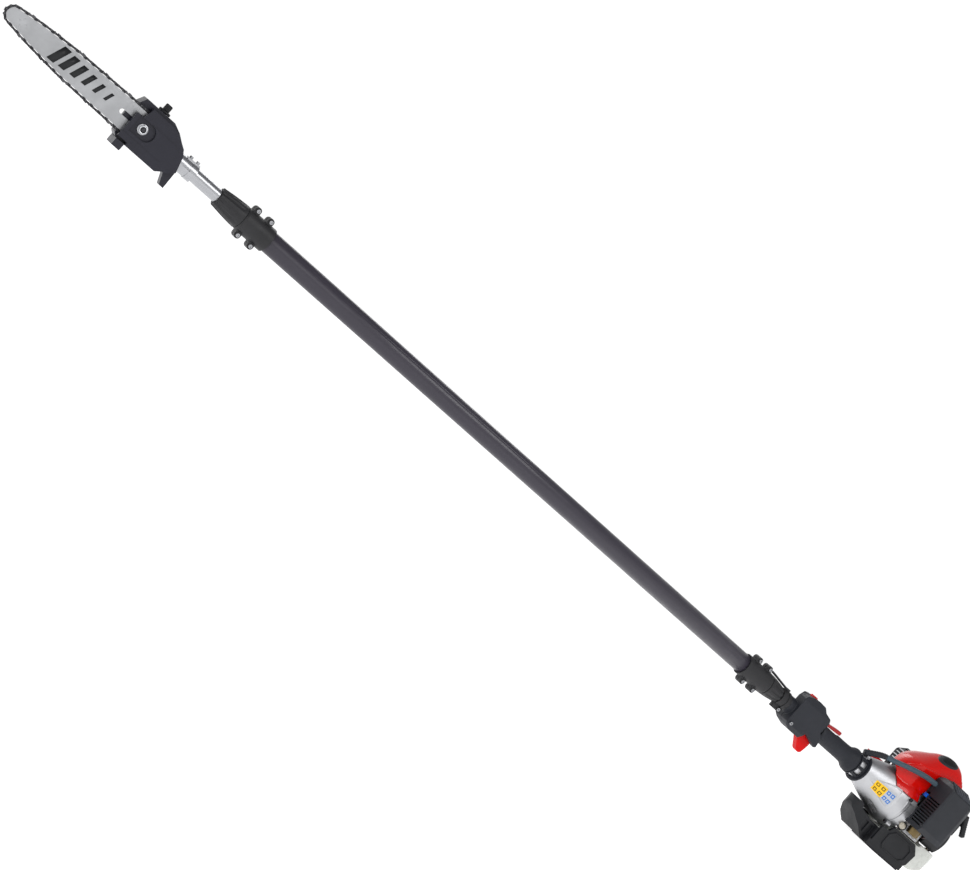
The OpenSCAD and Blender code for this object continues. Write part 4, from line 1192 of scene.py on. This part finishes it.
def link_prism(origin, tan, nrm, outline, w0, w1):
    """One flat chain plate, its outline laid along tan and nrm, from w0 to w1 beside the bar's middle."""
    n = len(outline)
    verts = []
    for w in (w0, w1):
        for u, v in outline:
            p = origin + tan * u + nrm * v
            verts.append((p.x, BAR_Y + w, p.z))
    faces = [tuple(range(n)), tuple(range(2 * n - 1, n - 1, -1))]
    faces += [(i, (i + 1) % n, n + (i + 1) % n, n + i) for i in range(n)]
    return verts, faces


def add_to(kind, vf):
    parts[kind].append(vf)


def dogbone(half, r, waist, low, high):
    """A waisted plate round two rivets."""
    pts = []
    for k in range(9):
        a = math.radians(-90 + k * 22.5)
        pts.append((half + r * math.cos(a), max(low, min(high, r * math.sin(a)))))
    pts.append((0, waist))
    for k in range(9):
        a = math.radians(90 + k * 22.5)
        pts.append((-half + r * math.cos(a), max(low, min(high, r * math.sin(a)))))
    pts.append((0, -waist))
    return pts


disc = [(1.15 * math.cos(2 * math.pi * k / 12), 1.15 * math.sin(2 * math.pi * k / 12))
        for k in range(12)]
cutter_side = 1
for i in range(COUNT):
    a, b = rivets[i], rivets[(i + 1) % COUNT]
    mid = (a + b) / 2
    tan = (b - a).normalized()
    nrm = Vector((tan.z, 0, -tan.x))
    ref = mid - Vector((min(max(mid.x, SPROCKET_X), NOSE_X), 0, 0))
    if nrm.dot(ref) < 0:
        nrm = -nrm
    half = (b - a).length / 2
    # the way the chain travels: towards the nose along the top
    fwd = tan if (mid.z > 0) == (tan.x > 0) else -tan
    if i % 2 == 0:
        tang = [(-half - 2.0, 0.6), (-half - 1.6, 1.9), (half + 1.6, 1.9), (half + 2.0, 0.6),
                (half + 1.2, -1.5), (1.6, -2.6), (0.9, -5.2), (-0.6, -5.6), (-1.8, -2.6),
                (-half - 1.2, -1.5)]
        add_to("drive", link_prism(mid, fwd, nrm, tang, -0.55, 0.55))
        continue
    kind = (i // 2) % 3
    for s in (-1, 1):
        w0, w1 = sorted((s * 0.65, s * 1.6))
        if kind == 0 and s == cutter_side:
            body = [(-half - 2.1, -1.5), (half + 2.1, -1.5), (half + 2.3, 0.6), (half + 1.9, 2.3),
                    (half + 0.6, 2.8), (half - 0.4, 1.6), (0.9, 1.3), (0.2, 1.7), (-0.3, 3.1),
                    (-half - 2.0, 2.5), (-half - 2.4, 0.4)]
            add_to("cutter", link_prism(mid, fwd, nrm, body, w0, w1))
            top = [(-0.1, 2.75), (-0.3, 3.15), (-half - 1.9, 2.6), (-half - 1.9, 2.0)]
            v0, v1 = sorted((-s * 0.35, s * 2.15))
            add_to("cutter", link_prism(mid, fwd, nrm, top, v0, v1))
            side_plate = [(-0.2, 1.2), (-0.3, 3.1), (-half - 1.8, 2.5), (-half - 1.8, 0.6)]
            v0, v1 = sorted((s * 1.6, s * 2.1))
            add_to("cutter", link_prism(mid, fwd, nrm, side_plate, v0, v1))
        else:
            add_to("strap", link_prism(mid, fwd, nrm, dogbone(half, 1.95, 1.5, -1.9, 1.95), w0, w1))
    if kind == 0:
        cutter_side = -cutter_side
    for e in (a, b):
        for s in (-1, 1):
            w0, w1 = sorted((s * 1.55, s * 1.95))
            add_to("rivet", link_prism(e, fwd, nrm, disc, w0, w1))


def gather(name, blocks):
    """All plates of one kind as one flat-shaded mesh."""
    verts, faces = [], []
    for v, f in blocks:
        o = len(verts)
        verts += v
        faces += [tuple(o + k for k in t) for t in f]
    ob = make(name, verts, faces)
    for p in ob.data.polygons:
        p.use_smooth = False
    return ob


cutter_mat = metal("cutter_steel", (0.09, 0.09, 0.095), (0.2, 0.35), (1, 1, 1), 400, 0.00003)
put(gather("chain_straps", parts["strap"]), "chain_steel", "saw_head", "saw_chain")
put(gather("chain_drive_links", parts["drive"]), "chain_steel", "saw_head")
put(gather("chain_cutters", parts["cutter"]), "chain_steel", "saw_head", mat=cutter_mat)
put(gather("chain_rivets", parts["rivet"]), "chain_steel", "saw_head", mat=cutter_mat)

# ---------------------------------------------------------------- the CAD nodes that stay
for n, ob in frame["nodes"].items():
    if not ob.hide_render:
        ob.data.materials.clear()
        ob.data.materials.append(MATS[SLOT_OF[n]])
